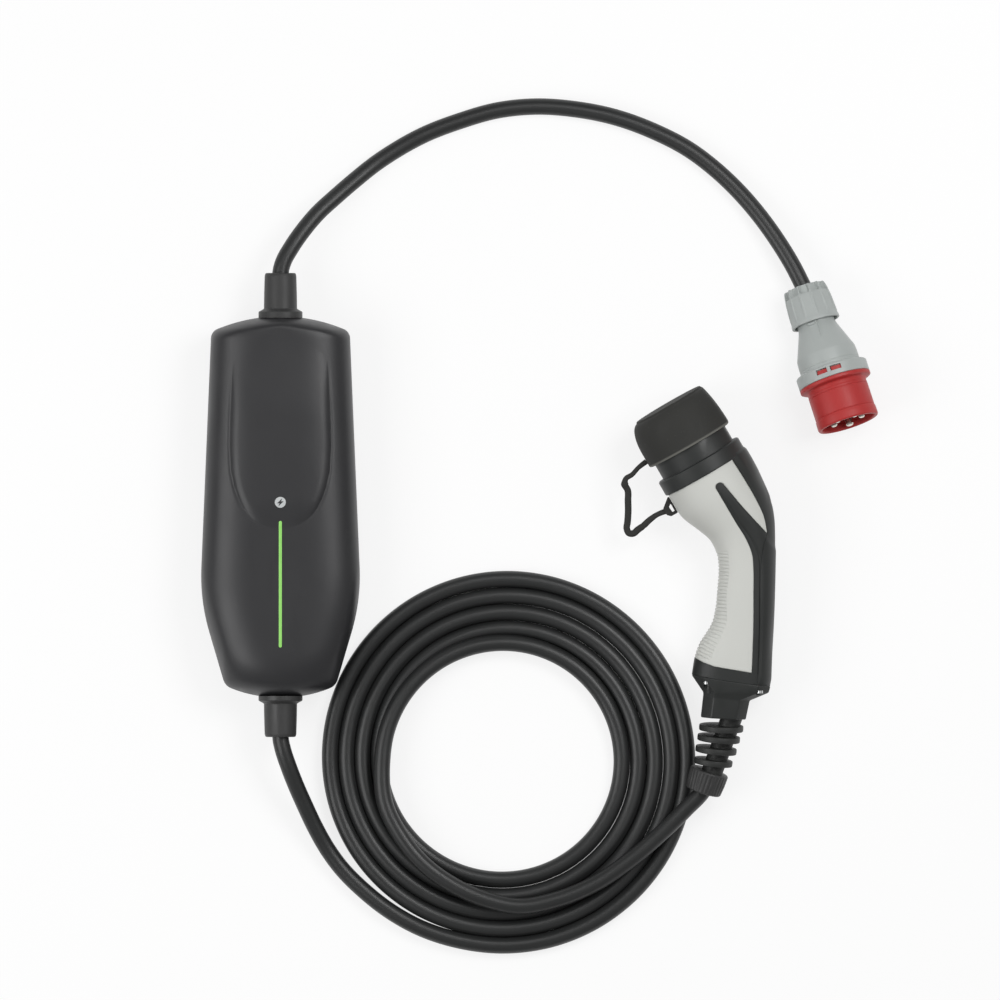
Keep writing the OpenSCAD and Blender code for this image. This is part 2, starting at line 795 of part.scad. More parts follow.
module gun_frame() color([0.16, 0.16, 0.17]) {
    difference() {
        union() {
            on_gun() difference() {
                grip_form();
                linear_extrude(4 * collar_r, center = true) panel_plan();
            }
            on_nose() translate([0, 0, -collar_len]) cylinder(r = collar_r, h = collar_len, $fn = 56);
        }
        nose_cut();
    }
}

// Ribs on the finger side, as slots that stop short of the panel's face
module rib_slots() {
    for (y = [-76:-rib_pitch:-146]) {
        lean = 10 * max(0, (-y - 120) / 26);
        translate([-20, y, 0]) rotate([0, 0, -lean])
            translate([0, 0, -2 * collar_r]) cube([44 - lean, rib_pitch / 2, 4 * collar_r]);
    }
}

// Half of the grey grip: side is 1 for the upper half and -1 for the lower one
module grip_half(side) {
    on_gun() difference() {
        intersection() {
            grip_form();
            translate([0, 0, side * (collar_r + seat_gap / 2)])
                linear_extrude(2 * collar_r, center = true) offset(delta = -seat_gap) panel_plan();
        }
        difference() {
            rib_slots();
            grip_form(rib_depth);
        }
    }
}

module grip_panel_left() color([0.79, 0.79, 0.77]) {
    grip_half(1);
}

module grip_panel_right() color([0.79, 0.79, 0.77]) {
    grip_half(-1);
}

// End cap stations: [finger side x, y, spine x, y, half thickness]
end_stations = [
    [-4.7, -161.1, 54.3, -169.8, 20.2], [4, -174, 53, -174.5, 19.4],
    [4, -177, 38.8, -180.5, 17.4], [2.2, -193, 35.8, -194.8, 16.8]
];

// Corners of a rectangle with cut corners, as [1 on the spine side, in from that side, up]
function end_corners(b) =
    let (cut = 0.45 * b)
    [[1, 0, b - cut], [1, cut, b], [0, cut, b], [0, 0, b - cut],
     [0, 0, cut - b], [0, cut, -b], [1, cut, -b], [1, 0, cut - b]];

function end_section(s) =
    let (finger = [s[0], s[1]], spine = [s[2], s[3]], across = unit(spine - finger))
    [for (c = end_corners(s[4]))
        let (p = c[0] == 1 ? spine - c[1] * across : finger + c[1] * across)
        [p.x, p.y, c[2]]];

end_screw_r = 2.4;
end_screw_spots = [[6.5, -165.6], [46.3, -172.4]];
end_screw_lift = 17;

module at_end_screws() {
    for (s = end_screw_spots) for (side = [-1, 1]) {
        translate([s.x, s.y, side * end_screw_lift]) rotate([90, 0, 0]) children();
    }
}

module gun_end_cap() color([0.2, 0.2, 0.2]) on_gun() {
    difference() {
        hull_loft([for (s = end_stations) end_section(s)]);
        at_end_screws() cylinder(r = end_screw_r + 3 * fit_gap, h = 14);
    }
}

module end_cap_screws() color([0.85, 0.85, 0.86]) on_gun() {
    at_end_screws() difference() {
        cylinder(r = end_screw_r, h = 2);
        translate([0, 0, 1.2]) cylinder(r = 1, h = 2, $fn = 6);
    }
}

// Bend relief: rings on a core that leans across them
nut_start = [8.6, -234.3, 0];
nut_end = [4.3, -248, 0];
nut_dir = unit(nut_end - nut_start);
core_start = [25.6, -193, 0];
core_end = [10.6, -234.3, 0];
core_r = 8;
ring_t = 4.5;
ring_lean = 9;
// Each ring as [x, y, diameter, turn]
boot_rings = [[17.5, -200.5, 33, 4], [15.6, -209.3, 32, 5], [13.6, -218, 31, 6], [11.5, -227, 29, 7]];
nut_r = 14.6;
nut_ribs = 28;

// Turns +Z to a direction in the connector's mid plane
module along(d) {
    rotate([0, 0, atan2(d.y, d.x)]) rotate([0, 90, 0]) children();
}

module cord_boot() color([0.22, 0.22, 0.22]) on_gun() {
    reach = core_end - core_start;
    end_row = end_stations[len(end_stations) - 1];
    end_turn = atan2(end_row[3] - end_row[1], end_row[2] - end_row[0]);
    for (r = boot_rings) {
        translate([r[0], r[1], 0]) along([-sin(r[3]), -cos(r[3])]) rotate([0, ring_lean, 0])
            cylinder(d = r[2], h = ring_t, center = true);
    }
    difference() {
        translate(core_start) along(reach) cylinder(r = core_r, h = norm(reach) + core_r);
        translate(nut_start) along(nut_dir) cylinder(r = 3 * core_r, h = 3 * core_r);
        translate([end_row[0], end_row[1], 0]) rotate([0, 0, end_turn])
            translate([-over, 0, -2 * core_r]) cube([6 * core_r, 4 * core_r, 4 * core_r]);
    }
}

module boot_nut() color([0.22, 0.22, 0.22]) on_gun() {
    translate(nut_start) along(nut_dir) intersection() {
        cylinder(r1 = nut_r + 0.2, r2 = nut_r - 1.2, h = norm(nut_end - nut_start));
        linear_extrude(norm(nut_end - nut_start)) polygon(
            [for (k = [0:2 * nut_ribs - 1])
                (nut_r + (k % 2 == 0 ? 0.2 : -0.8)) * [cos(180 * k / nut_ribs), sin(180 * k / nut_ribs)]]);
    }
}

// Contacts: power contacts round the earth contact, two signal contacts by the flat side

power_spots = concat([[0, 0]], [for (a = [90, 150, 210, 270]) contact_circle_r * [cos(a), sin(a)]]);
signal_spots = [for (a = [30, -30]) 0.94 * contact_circle_r * [cos(a), sin(a)]];

module gun_nose() color([0.17, 0.17, 0.17]) on_nose() {
    difference() {
        translate([0, 0, -nose_root]) linear_extrude(nose_root + nose_len) nose_plan_shape(0);
        translate([0, 0, -nose_root + nose_wall]) linear_extrude(nose_root + nose_len)
            nose_plan_shape(-nose_wall);
    }
}

// Outline of the insert: flats that fill the bore of the nose
module insert_plan() {
    inset = nose_wall + seat_gap;
    intersection() {
        translate([nose_shift, 0]) polygon(
            [for (k = [0:insert_sides - 1])
                (nose_r - inset) * [cos(360 * k / insert_sides), sin(360 * k / insert_sides)]]);
        translate([-2 * nose_r, -2 * nose_r]) square([2 * nose_r + nose_flat - inset, 4 * nose_r]);
    }
}

// Sockets for contacts, with flats that touch the circle of their radius
module sockets(spots, hole_r) {
    for (s = spots) {
        translate([s.x, s.y, 0])
            cylinder(r = hole_r / cos(180 / socket_sides), h = nose_len, $fn = socket_sides);
    }
}

// Block with through sockets on a plain plate, which is the floor of the sockets
module contact_insert() color([0.13, 0.13, 0.13]) on_nose() {
    floor_v = -nose_root + nose_wall;
    translate([0, 0, floor_v]) linear_extrude(-floor_v) insert_plan();
    difference() {
        translate([0, 0, seat_gap]) linear_extrude(insert_front - seat_gap) insert_plan();
        sockets(power_spots, power_hole_r);
        sockets(signal_spots, signal_hole_r);
    }
}

// Sleeve contacts that stand on the floor of their holes
module sleeves(spots, hole_r, bore_r, depth) {
    for (s = spots) {
        translate([s.x, s.y, 0]) difference() {
            cylinder(r = hole_r - seat_gap, h = insert_front - depth);
            translate([0, 0, 8]) cylinder(r = bore_r, h = nose_len);
        }
    }
}

module power_contacts() color([0.78, 0.76, 0.7]) on_nose() {
    sleeves(power_spots, power_hole_r, 3, 6);
}

module signal_contacts() color([0.78, 0.76, 0.7]) on_nose() {
    sleeves(signal_spots, signal_hole_r, 1.5, 6);
}

// Pull-off cap: barrel shaped, with the nose's flat side

cap_out_r = nose_r + cap_gap + cap_wall;

module nose_cap() color([0.22, 0.22, 0.22]) on_nose() {
    flat_low = nose_flat + cap_gap + cap_wall;
    bulge = cap_depth - cap_bulge_from;
    difference() {
        intersection() {
            translate([nose_shift, 0, nose_band]) rotate_extrude() polygon(concat(
                [[0, 0], [cap_out_r, 0]],
                [for (i = [0:5])
                    let (a = 15 * i)
                    [cap_crown_r + (cap_out_r - cap_crown_r) * cos(a),
                     cap_bulge_from + (bulge - 1.5) * sin(a)]],
                [[cap_crown_r - 1, cap_depth], [0, cap_depth]]
            ));
            translate([0, 2 * cap_out_r, 0]) rotate([90, 0, 0]) linear_extrude(4 * cap_out_r) polygon([
                [-2 * cap_out_r, 0], [flat_low, 0], [flat_low, nose_band],
                [flat_low - 2.8, cap_top + over], [-2 * cap_out_r, cap_top + over]
            ]);
        }
        linear_extrude(nose_len + cap_gap) nose_plan_shape(cap_gap);
    }
}

// Tether: moulded strap from the cap's rim to an eyelet on the grip, as [across, drop, along]
strap_r = 2.3;
tether_route = [
    [-34.6, 0, 18.2], [-42, 0.5, 17], [-48.5, 1.5, 14.9], [-54.5, 2.6, 14.3], [-57, 3.6, 10.6],
    [-57.6, 4.8, 5.6], [-61, 6, -0.8], [-65.2, 7.2, -8.3], [-69.3, 8.2, -14.5], [-72.4, 8.8, -18.8],
    [-72.2, 9, -23], [-67.5, 8.3, -23.9], [-60.8, 6.6, -22.9], [-54, 4.6, -21.3], [-47, 2.4, -20.6],
    [-41, 1, -21.4]
];

module cap_tether() color([0.15, 0.15, 0.15]) on_nose() {
    last = len(tether_route) - 1;
    skin([for (i = [0:last])
        let (d = unit(tether_route[min(i + 1, last)] - tether_route[max(i - 1, 0)]))
        let (side = unit(cross(d, [0, 1, 0])), rise = cross(side, d))
        [for (k = [0:7]) tether_route[i] + strap_r * (cos(45 * k) * rise + sin(45 * k) * side)]]);
}

module tether_eyelet() color([0.15, 0.15, 0.15]) on_nose() {
    base_u = -33.4;
    rotate([90, 0, 0]) linear_extrude(4, center = true) difference() {
        polygon([[base_u, -13], [-40.6, -19.4], [-40.4, -24.2], [-38.4, -26.2], [base_u, -26.6]]);
        polygon([[base_u - 1.1, -17.8], [-37, -19.6], [-36.6, -24.2], [base_u - 1.1, -24.2]]);
    }
}

box_top_shell();
box_rear_shell();
box_gasket();
case_screws();
light_bar();
charge_lens();
led_board();
circuit_board();
power_relays();
power_supply_module();
filter_capacitors();
residual_current_sensor();
input_terminals();
output_terminals();
input_wires();
output_wires();
inlet_relief();
outlet_relief();
supply_cable();
plug_gland_nut();
plug_gland_seal();
plug_body();
plug_front();
latch_tabs();
pin_carrier();
line_pins();
earth_pin();
charge_cable_lead();
charge_cable_coil();
charge_cable_tail();
boot_nut();
cord_boot();
gun_end_cap();
end_cap_screws();
gun_frame();
grip_panel_left();
grip_panel_right();
gun_nose();
contact_insert();
power_contacts();
signal_contacts();
nose_cap();
cap_tether();
tether_eyelet();
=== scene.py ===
# %% [markdown]
# # A portable car charger
# A control box lies between two leads: a short one to an industrial plug, and a long one, wound
# in a flat coil, to the connector that goes into the car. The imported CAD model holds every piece
# at its real size. This lesson gives each piece its finer shape and its finish, and each new
# surface is worked out with numpy as a grid of points.

# %% Load the frame
import json

import bmesh
import bpy
import numpy as np
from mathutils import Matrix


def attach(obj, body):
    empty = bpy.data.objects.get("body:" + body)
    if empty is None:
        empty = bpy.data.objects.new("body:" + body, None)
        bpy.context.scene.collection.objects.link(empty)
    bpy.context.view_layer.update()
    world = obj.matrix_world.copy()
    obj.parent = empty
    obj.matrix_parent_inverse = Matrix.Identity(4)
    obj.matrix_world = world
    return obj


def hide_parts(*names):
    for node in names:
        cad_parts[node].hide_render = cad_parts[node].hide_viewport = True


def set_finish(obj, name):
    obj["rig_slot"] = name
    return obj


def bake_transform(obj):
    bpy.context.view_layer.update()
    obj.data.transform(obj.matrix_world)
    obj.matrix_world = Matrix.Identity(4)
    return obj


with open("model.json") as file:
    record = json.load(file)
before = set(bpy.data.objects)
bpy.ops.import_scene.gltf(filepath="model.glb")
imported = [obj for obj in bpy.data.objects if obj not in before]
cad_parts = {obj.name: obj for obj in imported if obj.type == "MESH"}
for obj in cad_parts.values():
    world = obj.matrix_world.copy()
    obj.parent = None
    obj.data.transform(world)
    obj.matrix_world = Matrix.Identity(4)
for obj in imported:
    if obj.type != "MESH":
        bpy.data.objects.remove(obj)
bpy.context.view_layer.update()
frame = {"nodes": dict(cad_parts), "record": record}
MM = 0.001

# %% [markdown]
# ## Camera
# The photograph looks straight down on the charger, and nothing in it leans outwards. A long lens
# from high up gives that flat view, and unlike an orthographic camera it still works when the
# other views move it round the object.

# %% Camera
FIELD, LENS, SENSOR = 0.75, 1600.0, 36.0
AIM = (0.1646, 0.00375, 0.025)
camera = bpy.data.objects.new("camera", bpy.data.cameras.new("camera"))
camera.data.lens = LENS
camera.data.sensor_width = SENSOR
camera.data.clip_end = 60
camera.location = (AIM[0], AIM[1], AIM[2] + FIELD * LENS / SENSOR)
bpy.context.scene.collection.objects.link(camera)
bpy.context.scene.camera = camera
print("camera", round(camera.location.z, 2), "m above the floor")

# %% [markdown]
# ## From a grid to a mesh
# Nearly every piece here is a grid: rows along the piece and columns round or across it. One
# helper turns such a grid into quads. A grid that goes round closes on itself, and its open ends
# get a fan of triangles, so that the piece is a closed skin with its faces outwards.

# %% Grid meshes
def finish_mesh(name, points, faces, slot, body, sharp):
    """Mesh object from points in millimetres, with edges sharper than an angle kept crisp."""
    mesh = bpy.data.meshes.new(name)
    mesh.from_pydata(np.asarray(points) * MM, [], faces)
    mesh.validate()
    mesh.polygons.foreach_set("use_smooth", np.ones(len(mesh.polygons), bool))
    mesh.set_sharp_from_angle(angle=np.radians(sharp))
    piece = bpy.data.objects.new(name, mesh)
    bpy.context.scene.collection.objects.link(piece)
    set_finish(piece, slot)
    if body:
        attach(piece, body)
    return piece


def grid_faces(rows, columns, around, start=0, loop=False):
    """Quads between neighbouring rows and columns; around joins the columns' ends, loop the rows' ends."""
    index = start + np.arange(rows * columns).reshape(rows, columns)
    if around:
        index = np.column_stack([index, index[:, 0]])
    if loop:
        index = np.vstack([index, index[:1]])
    corners = [index[:-1, :-1], index[:-1, 1:], index[1:, 1:], index[1:, :-1]]
    return np.stack(corners, axis=-1).reshape(-1, 4)


def grid_skin(name, grids, slot, body="charger", around=True, ends=(True, True), sharp=40):
    """One piece from grids of rows x columns x 3. Columns turn counter-clockwise about the rows' way.
    ends says which end rows get a fan; with no ends, the last row joins the first."""
    points, faces, count = [], [], 0
    for grid in grids:
        rows, columns = grid.shape[:2]
        points.append(grid.reshape(-1, 3))
        faces += grid_faces(rows, columns, around, count, ends is None).tolist()
        rim = np.arange(columns)
        middle = count + rows * columns
        for last, wanted in enumerate(ends or ()):
            if around and wanted:
                ring = count + last * (rows - 1) * columns + rim
                nxt = np.roll(ring, -1)
                pair = (ring, nxt) if last else (nxt, ring)
                points.append(grid[-last].mean(axis=0)[None])
                faces += np.column_stack([np.full(columns, middle), *pair]).tolist()
                middle += 1
        count = middle
    return finish_mesh(name, np.concatenate(points), faces, slot, body, sharp)


def turn(axis, degrees):
    """Rotation matrix about X, Y or Z: cosines on the diagonal, sines across."""
    c, s = np.cos(np.radians(degrees)), np.sin(np.radians(degrees))
    i, j = {"X": (1, 2), "Y": (2, 0), "Z": (0, 1)}[axis]
    m = np.eye(3)
    m[i, i], m[i, j], m[j, i], m[j, j] = c, -s, s, c
    return m


def placed(points, matrix, shift):
    """Points turned by a matrix, then moved."""
    return np.asarray(points, float) @ matrix.T + np.asarray(shift, float)


def step(low, high, x):
    """Smooth step: 0 below low, 1 above high, and 3t^2 - 2t^3 between."""
    t = np.clip((np.asarray(x, float) - low) / (high - low), 0, 1)
    return t * t * (3 - 2 * t)


print("helpers ready")

# %% [markdown]
# ## Smooth lines
# A cable takes no corners. The route's points are joined by Hermite cubics whose slopes come from
# the neighbouring points, and the line is then cut again into even steps, so that the rings of
# the tube lie evenly.

# %% Smooth lines
def hermite(knots, values, x):
    """Cubic between knots: value and slope agree at each knot, slopes are central differences."""
    knots, values = np.asarray(knots, float), np.asarray(values, float)
    slopes = np.gradient(values, knots, axis=0)
    i = np.clip(np.searchsorted(knots, x, side="right") - 1, 0, len(knots) - 2)
    h = knots[i + 1] - knots[i]
    t = (x - knots[i]) / h
    if values.ndim > 1:
        h, t = h[:, None], t[:, None]
    return (values[i] * (1 + 2 * t) * (1 - t) ** 2 + slopes[i] * h * t * (1 - t) ** 2
            + values[i + 1] * t * t * (3 - 2 * t) + slopes[i + 1] * h * t * t * (t - 1))


def arc_length(line):
    """Running length along a line of points."""
    return np.concatenate([[0], np.cumsum(np.linalg.norm(np.diff(line, axis=0), axis=1))])


def smooth_line(points, spacing):
    """Hermite line through points by their chord lengths, cut into even steps."""
    points = np.asarray(points, float)
    chord = arc_length(points)
    fine = hermite(chord, points, np.linspace(0, chord[-1], int(chord[-1] * 2)))
    length = arc_length(fine)
    even = np.linspace(0, length[-1], max(int(length[-1] / spacing), 8))
    return np.column_stack([np.interp(even, length, fine[:, k]) for k in range(3)])


def tube_rings(line, radius, sides, flat=1.0, up=(0, 0, 1)):
    """Rings square to a line: point + radius (sin a side + flat cos a rise), turning about its way."""
    way = np.gradient(line, axis=0)
    way /= np.linalg.norm(way, axis=1, keepdims=True)
    side = np.cross(way, up)
    side /= np.linalg.norm(side, axis=1, keepdims=True)
    rise = np.cross(side, way)
    a = np.linspace(0, 2 * np.pi, sides, endpoint=False)
    radius = np.broadcast_to(radius, len(line))[:, None, None]
    return (line[:, None] + radius * (np.sin(a)[None, :, None] * side[:, None]
            + flat * np.cos(a)[None, :, None] * rise[:, None]))


def add_uv(piece, across, along):
    """UV map of a tube: across counts its columns and along its rows, per vertex of the grid."""
    mesh = piece.data
    layer = mesh.uv_layers.new(name="route")
    corner = np.zeros(len(mesh.loops), int)
    mesh.loops.foreach_get("vertex_index", corner)
    columns, rows = len(across), len(along)
    inside = corner < rows * columns
    safe = np.where(inside, corner, 0)
    uv = np.column_stack([np.where(inside, across[safe % columns], 0.5),
                          np.where(inside, along[safe // columns], 0)])
    layer.data.foreach_set("uv", uv.ravel())


test_line = smooth_line([[0, 0, 0], [50, 0, 0], [100, 0, 0]], 2)
print("a test line of 100 mm measures", round(arc_length(test_line)[-1], 1))

# %% [markdown]
# ## The two leads
# The supply lead leaves the upper relief, comes down to the floor and runs in one wide arc to the
# plug. The charge lead makes five flat turns, each one lying inside the last, then climbs over
# them and runs out to the connector. A curve object with a bevel would also do, but a tube on a
# grid carries its own map, along and round the jacket, which the finish needs.

# %% Leads
CABLE_R, CABLE_SIDES = 6.2, 20
# Place and lean of the connector, whose grip the charge lead runs on through
GUN_POS, GUN_TILT = [313.0335, 34, 35.6], 3.2
GUN = turn("X", GUN_TILT)
PLUG_END = [393.4, 161.4, 16.2546]
SUPPLY_ROUTE = [
    [0, 171, 29], [0, 174, 29], [2, 182, 28.7], [8, 193, 27.4], [17, 206, 24.5], [28, 219, 20.5],
    [41, 231, 16], [56, 244, 11.5], [71, 256, 8], [86, 266, 6.4], [108, 278, 6.2], [134, 288, 6.2],
    [162, 296, 6.2], [191, 299, 6.2], [221, 297, 6.2], [251, 291, 6.2], [281, 280, 6.2], [306, 267, 6.2],
    [326, 252, 6.4], [342, 237, 7], [357, 220, 8.6], [371, 201, 11], [384, 180, 14], PLUG_END,
]
LEAD_ROUTE = [
    [0, -171, 29], [0, -174, 29], [2, -184, 28.6], [6, -196, 26.6], [11, -209, 22.8], [18, -225, 17.5],
    [26, -242, 12], [35, -258, 8], [46, -273, 6.3], [62, -289, 6.2], [81, -304, 6.2], [104, -317, 6.2],
    [132, -326.3, 6.2],
]
TAIL_ROUTE = [
    [79, -226, 18.9], [90, -248, 18.9], [106, -268, 18.9], [129, -285, 18.9], [154, -296, 18.9],
    [180, -301, 18.9], [207, -296, 18.9], [236, -284, 18.9], [264, -265, 18.9], [288, -244, 19.2],
    [304, -228, 20.4],
]
# Plan points in the connector's frame: nut, boot, grip
INSIDE_ROUTE = [
    [4.3, -248], [9.8, -234.3], [18, -213], [25.6, -193], [29, -172], [31, -150], [33, -120], [35, -92],
    [33, -66], [24, -43], [12, -22],
]
# Radius and height of the turns at every quarter turn, from the bottom and counter-clockwise
COIL_MIDDLE = np.array([168.5, -192.0])
TURN_RADIUS = [138.5, 136.5, 136.4, 131.4, 126.2, 124.8, 124.0, 119.2, 114.0, 112.3, 111.6, 107.0,
               101.7, 99.9, 99.2, 94.8, 89.2, 87.5, 88.6, 92.3]
TURN_HEIGHT = [6.2] * 17 + [7.2, 12.3, 17.9]


def coil_line(spacing_degrees):
    """Spiral: angle runs on, radius and height are Hermite curves through the quarter turns."""
    quarter = 90.0 * np.arange(len(TURN_RADIUS))
    angle = np.arange(0, quarter[-1] + 1, spacing_degrees)
    radius = hermite(quarter, TURN_RADIUS, angle)
    height = np.maximum(hermite(quarter, TURN_HEIGHT, angle), CABLE_R)
    way = np.radians(angle - 90)
    x, y = COIL_MIDDLE[0] + radius * np.cos(way), COIL_MIDDLE[1] + radius * np.sin(way)
    return np.column_stack([x, y, height])


def on_gun(points):
    """From the connector's frame, which lies in the mid plane of its grip, to the charger's."""
    return placed(points, GUN, GUN_POS)


def lead(name, route):
    """Tube of the jacket along a route, with its map."""
    line = smooth_line(route, 3.0)
    rings = tube_rings(line, CABLE_R, CABLE_SIDES)
    piece = grid_skin(name, [rings], "cable_jacket", sharp=60)
    add_uv(piece, np.arange(CABLE_SIDES) / CABLE_SIDES, arc_length(line) * MM)
    return piece, line


supply_lead, supply_line = lead("supply_lead", SUPPLY_ROUTE)
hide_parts("supply_cable")
inside_line = on_gun([[*p, 0] for p in INSIDE_ROUTE]).tolist()
charge_lead, charge_line = lead("charge_lead", LEAD_ROUTE + coil_line(15).tolist() + TAIL_ROUTE + inside_line)
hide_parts("charge_cable_lead", "charge_cable_coil", "charge_cable_tail")

# %% [markdown]
# ## Shader maths
# A finish is a small calculation: noise makes grain, a threshold makes scuffs, and the result goes
# to colour, roughness and bump. Wiring Math nodes by hand hides that calculation, so a small class
# stands for a socket, and writing `1 - mask` adds the node that works it out.

# %% Signals
class Signal:
    """A socket in a material's nodes. Operators on it add Math nodes."""

    def __init__(self, tree, socket=None):
        self.tree, self.socket = tree, socket

    def node(self, kind, settings=None, sockets=None, out=0):
        """A node of a type: first its settings are set, then its sockets get values or links."""
        made = self.tree.nodes.new("ShaderNode" + kind)
        for key, value in (settings or {}).items():
            setattr(made, key, value)
        for key, value in (sockets or {}).items():
            if isinstance(value, Signal):
                self.tree.links.new(value.socket, made.inputs[key])
            else:
                made.inputs[key].default_value = value
        return Signal(self.tree, made.outputs[out])

    def math(self, operation, *others):
        """A Math node on this value and others."""
        return self.node("Math", {"operation": operation}, dict(enumerate((self, *others))))

    def __add__(self, other):
        return self.math("ADD", other)

    def __sub__(self, other):
        return self.math("SUBTRACT", other)

    def __rsub__(self, other):
        return self.node("Math", {"operation": "SUBTRACT"}, {0: other, 1: self})

    def __mul__(self, other):
        return self.math("MULTIPLY", other)

    __radd__, __rmul__ = __add__, __mul__

    def between(self, low, high):
        """0 below low, 1 above high, smooth between."""
        return self.node("MapRange", {"interpolation_type": "SMOOTHSTEP"}, {0: self, 1: low, 2: high})

    def noise(self, scale, detail=3.0, stretch=(1, 1, 1)):
        """Cloudy noise on this place, from 0 to 1; stretch makes it longer one way."""
        place = self.node("Mapping", None, {"Vector": self, "Scale": stretch})
        return self.node("TexNoise", None, {"Vector": place, "Scale": scale, "Detail": detail})

    def blend(self, first, second):
        """Colour mix: first where this is 0, second where it is 1."""
        return self.node("Mix", {"data_type": "RGBA"}, {0: self, 6: first, 7: second}, out=2)


def srgb(*levels):
    """Screen levels from 0 to 255 as linear colour: the power 2.4 curve with its straight foot."""
    c = np.asarray(levels, float) / 255
    linear = np.where(c <= 0.04045, c / 12.92, ((c + 0.055) / 1.055) ** 2.4)
    return (*linear.tolist(), 1.0)


def shaded(colour, amount):
    """A colour made lighter or darker by a share."""
    return (*(np.clip(np.array(colour[:3]) * amount, 0, 1)).tolist(), 1.0)


class Finish:
    """A material with one Principled shader; place reads the object's own coordinates."""

    def __init__(self, name, **fixed):
        self.material = bpy.data.materials.new(name)
        self.material.use_nodes = True
        self.tree = self.material.node_tree
        self.shader = self.tree.nodes["Principled BSDF"]
        for socket, value in fixed.items():
            self.shader.inputs[socket.replace("_", " ")].default_value = value
        self.place = Signal(self.tree).node("TexCoord", out="Object")
        self.route = Signal(self.tree).node("TexCoord", out="UV")

    def feed(self, socket, signal):
        """Links a signal to one of the shader's sockets."""
        self.tree.links.new(signal.socket, self.shader.inputs[socket])

    def colour(self):
        """What the shader's colour is linked to so far."""
        return Signal(self.tree, self.shader.inputs["Base Color"].links[0].from_socket)

    def bump(self, height, depth):
        """Raises the surface by height times depth, in metres."""
        raised = {"Strength": 1.0, "Distance": depth, "Height": height}
        self.feed("Normal", self.place.node("Bump", None, raised))

    def stored(self, name):
        """A number stored on the points of the piece."""
        return self.place.node("Attribute", {"attribute_name": name}, out="Fac")


FINISHES = {}
print("signals ready")

# %% [markdown]
# ## Moulded plastic and rubber
# Housings, sleeves and caps come out of steel moulds whose walls are etched, so the plastic has a
# fine even grain, a faint cloudiness where it flowed, and rubbed spots that shine a little more.
# One recipe makes them all: only colour, gloss and the size of the grain differ.

# %% Moulded finishes
def moulded(name, colour, rough, grain=0.7, depth=0.00003, cloud=0.1, rub=0.12, specular=0.4, fleck=0.0):
    """Grain as fine noise in the bump, cloud in the colour, rubbed streaks in the roughness."""
    made = Finish(name, Specular_IOR_Level=specular)
    fine = made.place.noise(1000.0 / grain, 2.0)
    broad = made.place.noise(28.0, 4.0)
    streak = made.place.noise(90.0, 5.0, (1, 0.18, 1)).between(0.52, 0.72)
    tone = (broad - 0.5) * 2 * cloud + (fine - 0.5) * 0.12 + 0.5
    colours = tone.blend(shaded(colour, 0.8), shaded(colour, 1.2))
    if fleck:
        spots = made.place.noise(650.0, 1.0).between(0.7, 0.78) * fleck
        colours = spots.blend(colours, shaded(colour, 2.2))
    made.feed("Base Color", colours)
    made.feed("Roughness", rough + (broad - 0.5) * 0.12 - streak * rub)
    made.bump(fine, depth)
    FINISHES[name] = made
    return made


moulded("relief_rubber", srgb(54, 54, 54), 0.5, grain=0.5, cloud=0.15)
moulded("boot_rubber", srgb(42, 43, 42), 0.52, grain=0.5, cloud=0.15)
moulded("plug_grey", srgb(168, 173, 171), 0.46, grain=0.6, cloud=0.05, specular=0.45)
moulded("plug_red", srgb(173, 47, 46), 0.48, grain=0.6, cloud=0.08, specular=0.36)
moulded("connector_black", srgb(38, 40, 39), 0.5, grain=0.6, cloud=0.12, specular=0.42)
moulded("grip_grey", srgb(205, 206, 201), 0.55, grain=0.6, cloud=0.04, specular=0.35)
moulded("cap_rubber", srgb(52, 52, 50), 0.72, grain=0.9, depth=0.00005, cloud=0.25, rub=0.08,
        specular=0.22, fleck=0.3)
moulded("seal_rubber", srgb(26, 26, 26), 0.6)
moulded("component_plastic", srgb(38, 38, 42), 0.45)
moulded("terminal_plastic", srgb(58, 118, 84), 0.45)
moulded("board_laminate", srgb(30, 84, 52), 0.35)
moulded("wire_jacket", srgb(128, 84, 50), 0.4)
print(len(FINISHES), "moulded finishes")

# %% [markdown]
# ## Cable jacket
# The jacket is drawn out of a die, so its marks run along the cable: fine lines that the die left,
# and here and there a rubbed length. The tube's own map counts along and round, so the marks
# follow every turn of the coil.

# %% Cable finish
jacket = Finish("cable_jacket", Specular_IOR_Level=0.5)
lines = jacket.route.noise(60.0, 3.0, (1.6, 0.12, 1))
patch = jacket.route.noise(9.0, 4.0, (1.5, 2.2, 1))
grain = jacket.place.noise(1500.0, 2.0)
worn = (patch - 0.5) * 0.9 + (lines - 0.5) * 0.5 + 0.5
jacket.feed("Base Color", worn.blend(srgb(28, 29, 29), srgb(42, 43, 43)))
jacket.feed("Roughness", 0.4 + (patch - 0.5) * 0.25 + (lines - 0.5) * 0.16)
jacket.bump(lines * 0.6 + grain * 0.4, 0.00005)
FINISHES["cable_jacket"] = jacket
print("cable jacket ready")

# %% [markdown]
# ## Metals and lights
# Pins and screws are plated: pale and smooth, with fine turning marks and a darker tarnish in
# places. The light bar is a lit strip of clear plastic that glows from within, and the lens over
# the charge mark is pale and glossy.

# %% Metal and light finishes
def plated(name, colour, rough):
    """Plated metal: turning marks as a fine stretched noise, tarnish as a cloudy darkening."""
    made = Finish(name, Metallic=1.0)
    marks = made.place.noise(2500.0, 2.0, (1, 1, 0.1))
    tarnish = made.place.noise(240.0, 4.0).between(0.45, 0.8)
    made.feed("Base Color", tarnish.blend(colour, shaded(colour, 0.72)))
    made.feed("Roughness", rough + (marks - 0.5) * 0.2 + tarnish * 0.12)
    made.bump(marks, 0.00001)
    FINISHES[name] = made


plated("contact_metal", srgb(226, 222, 212), 0.22)
plated("screw_steel", srgb(214, 216, 216), 0.28)

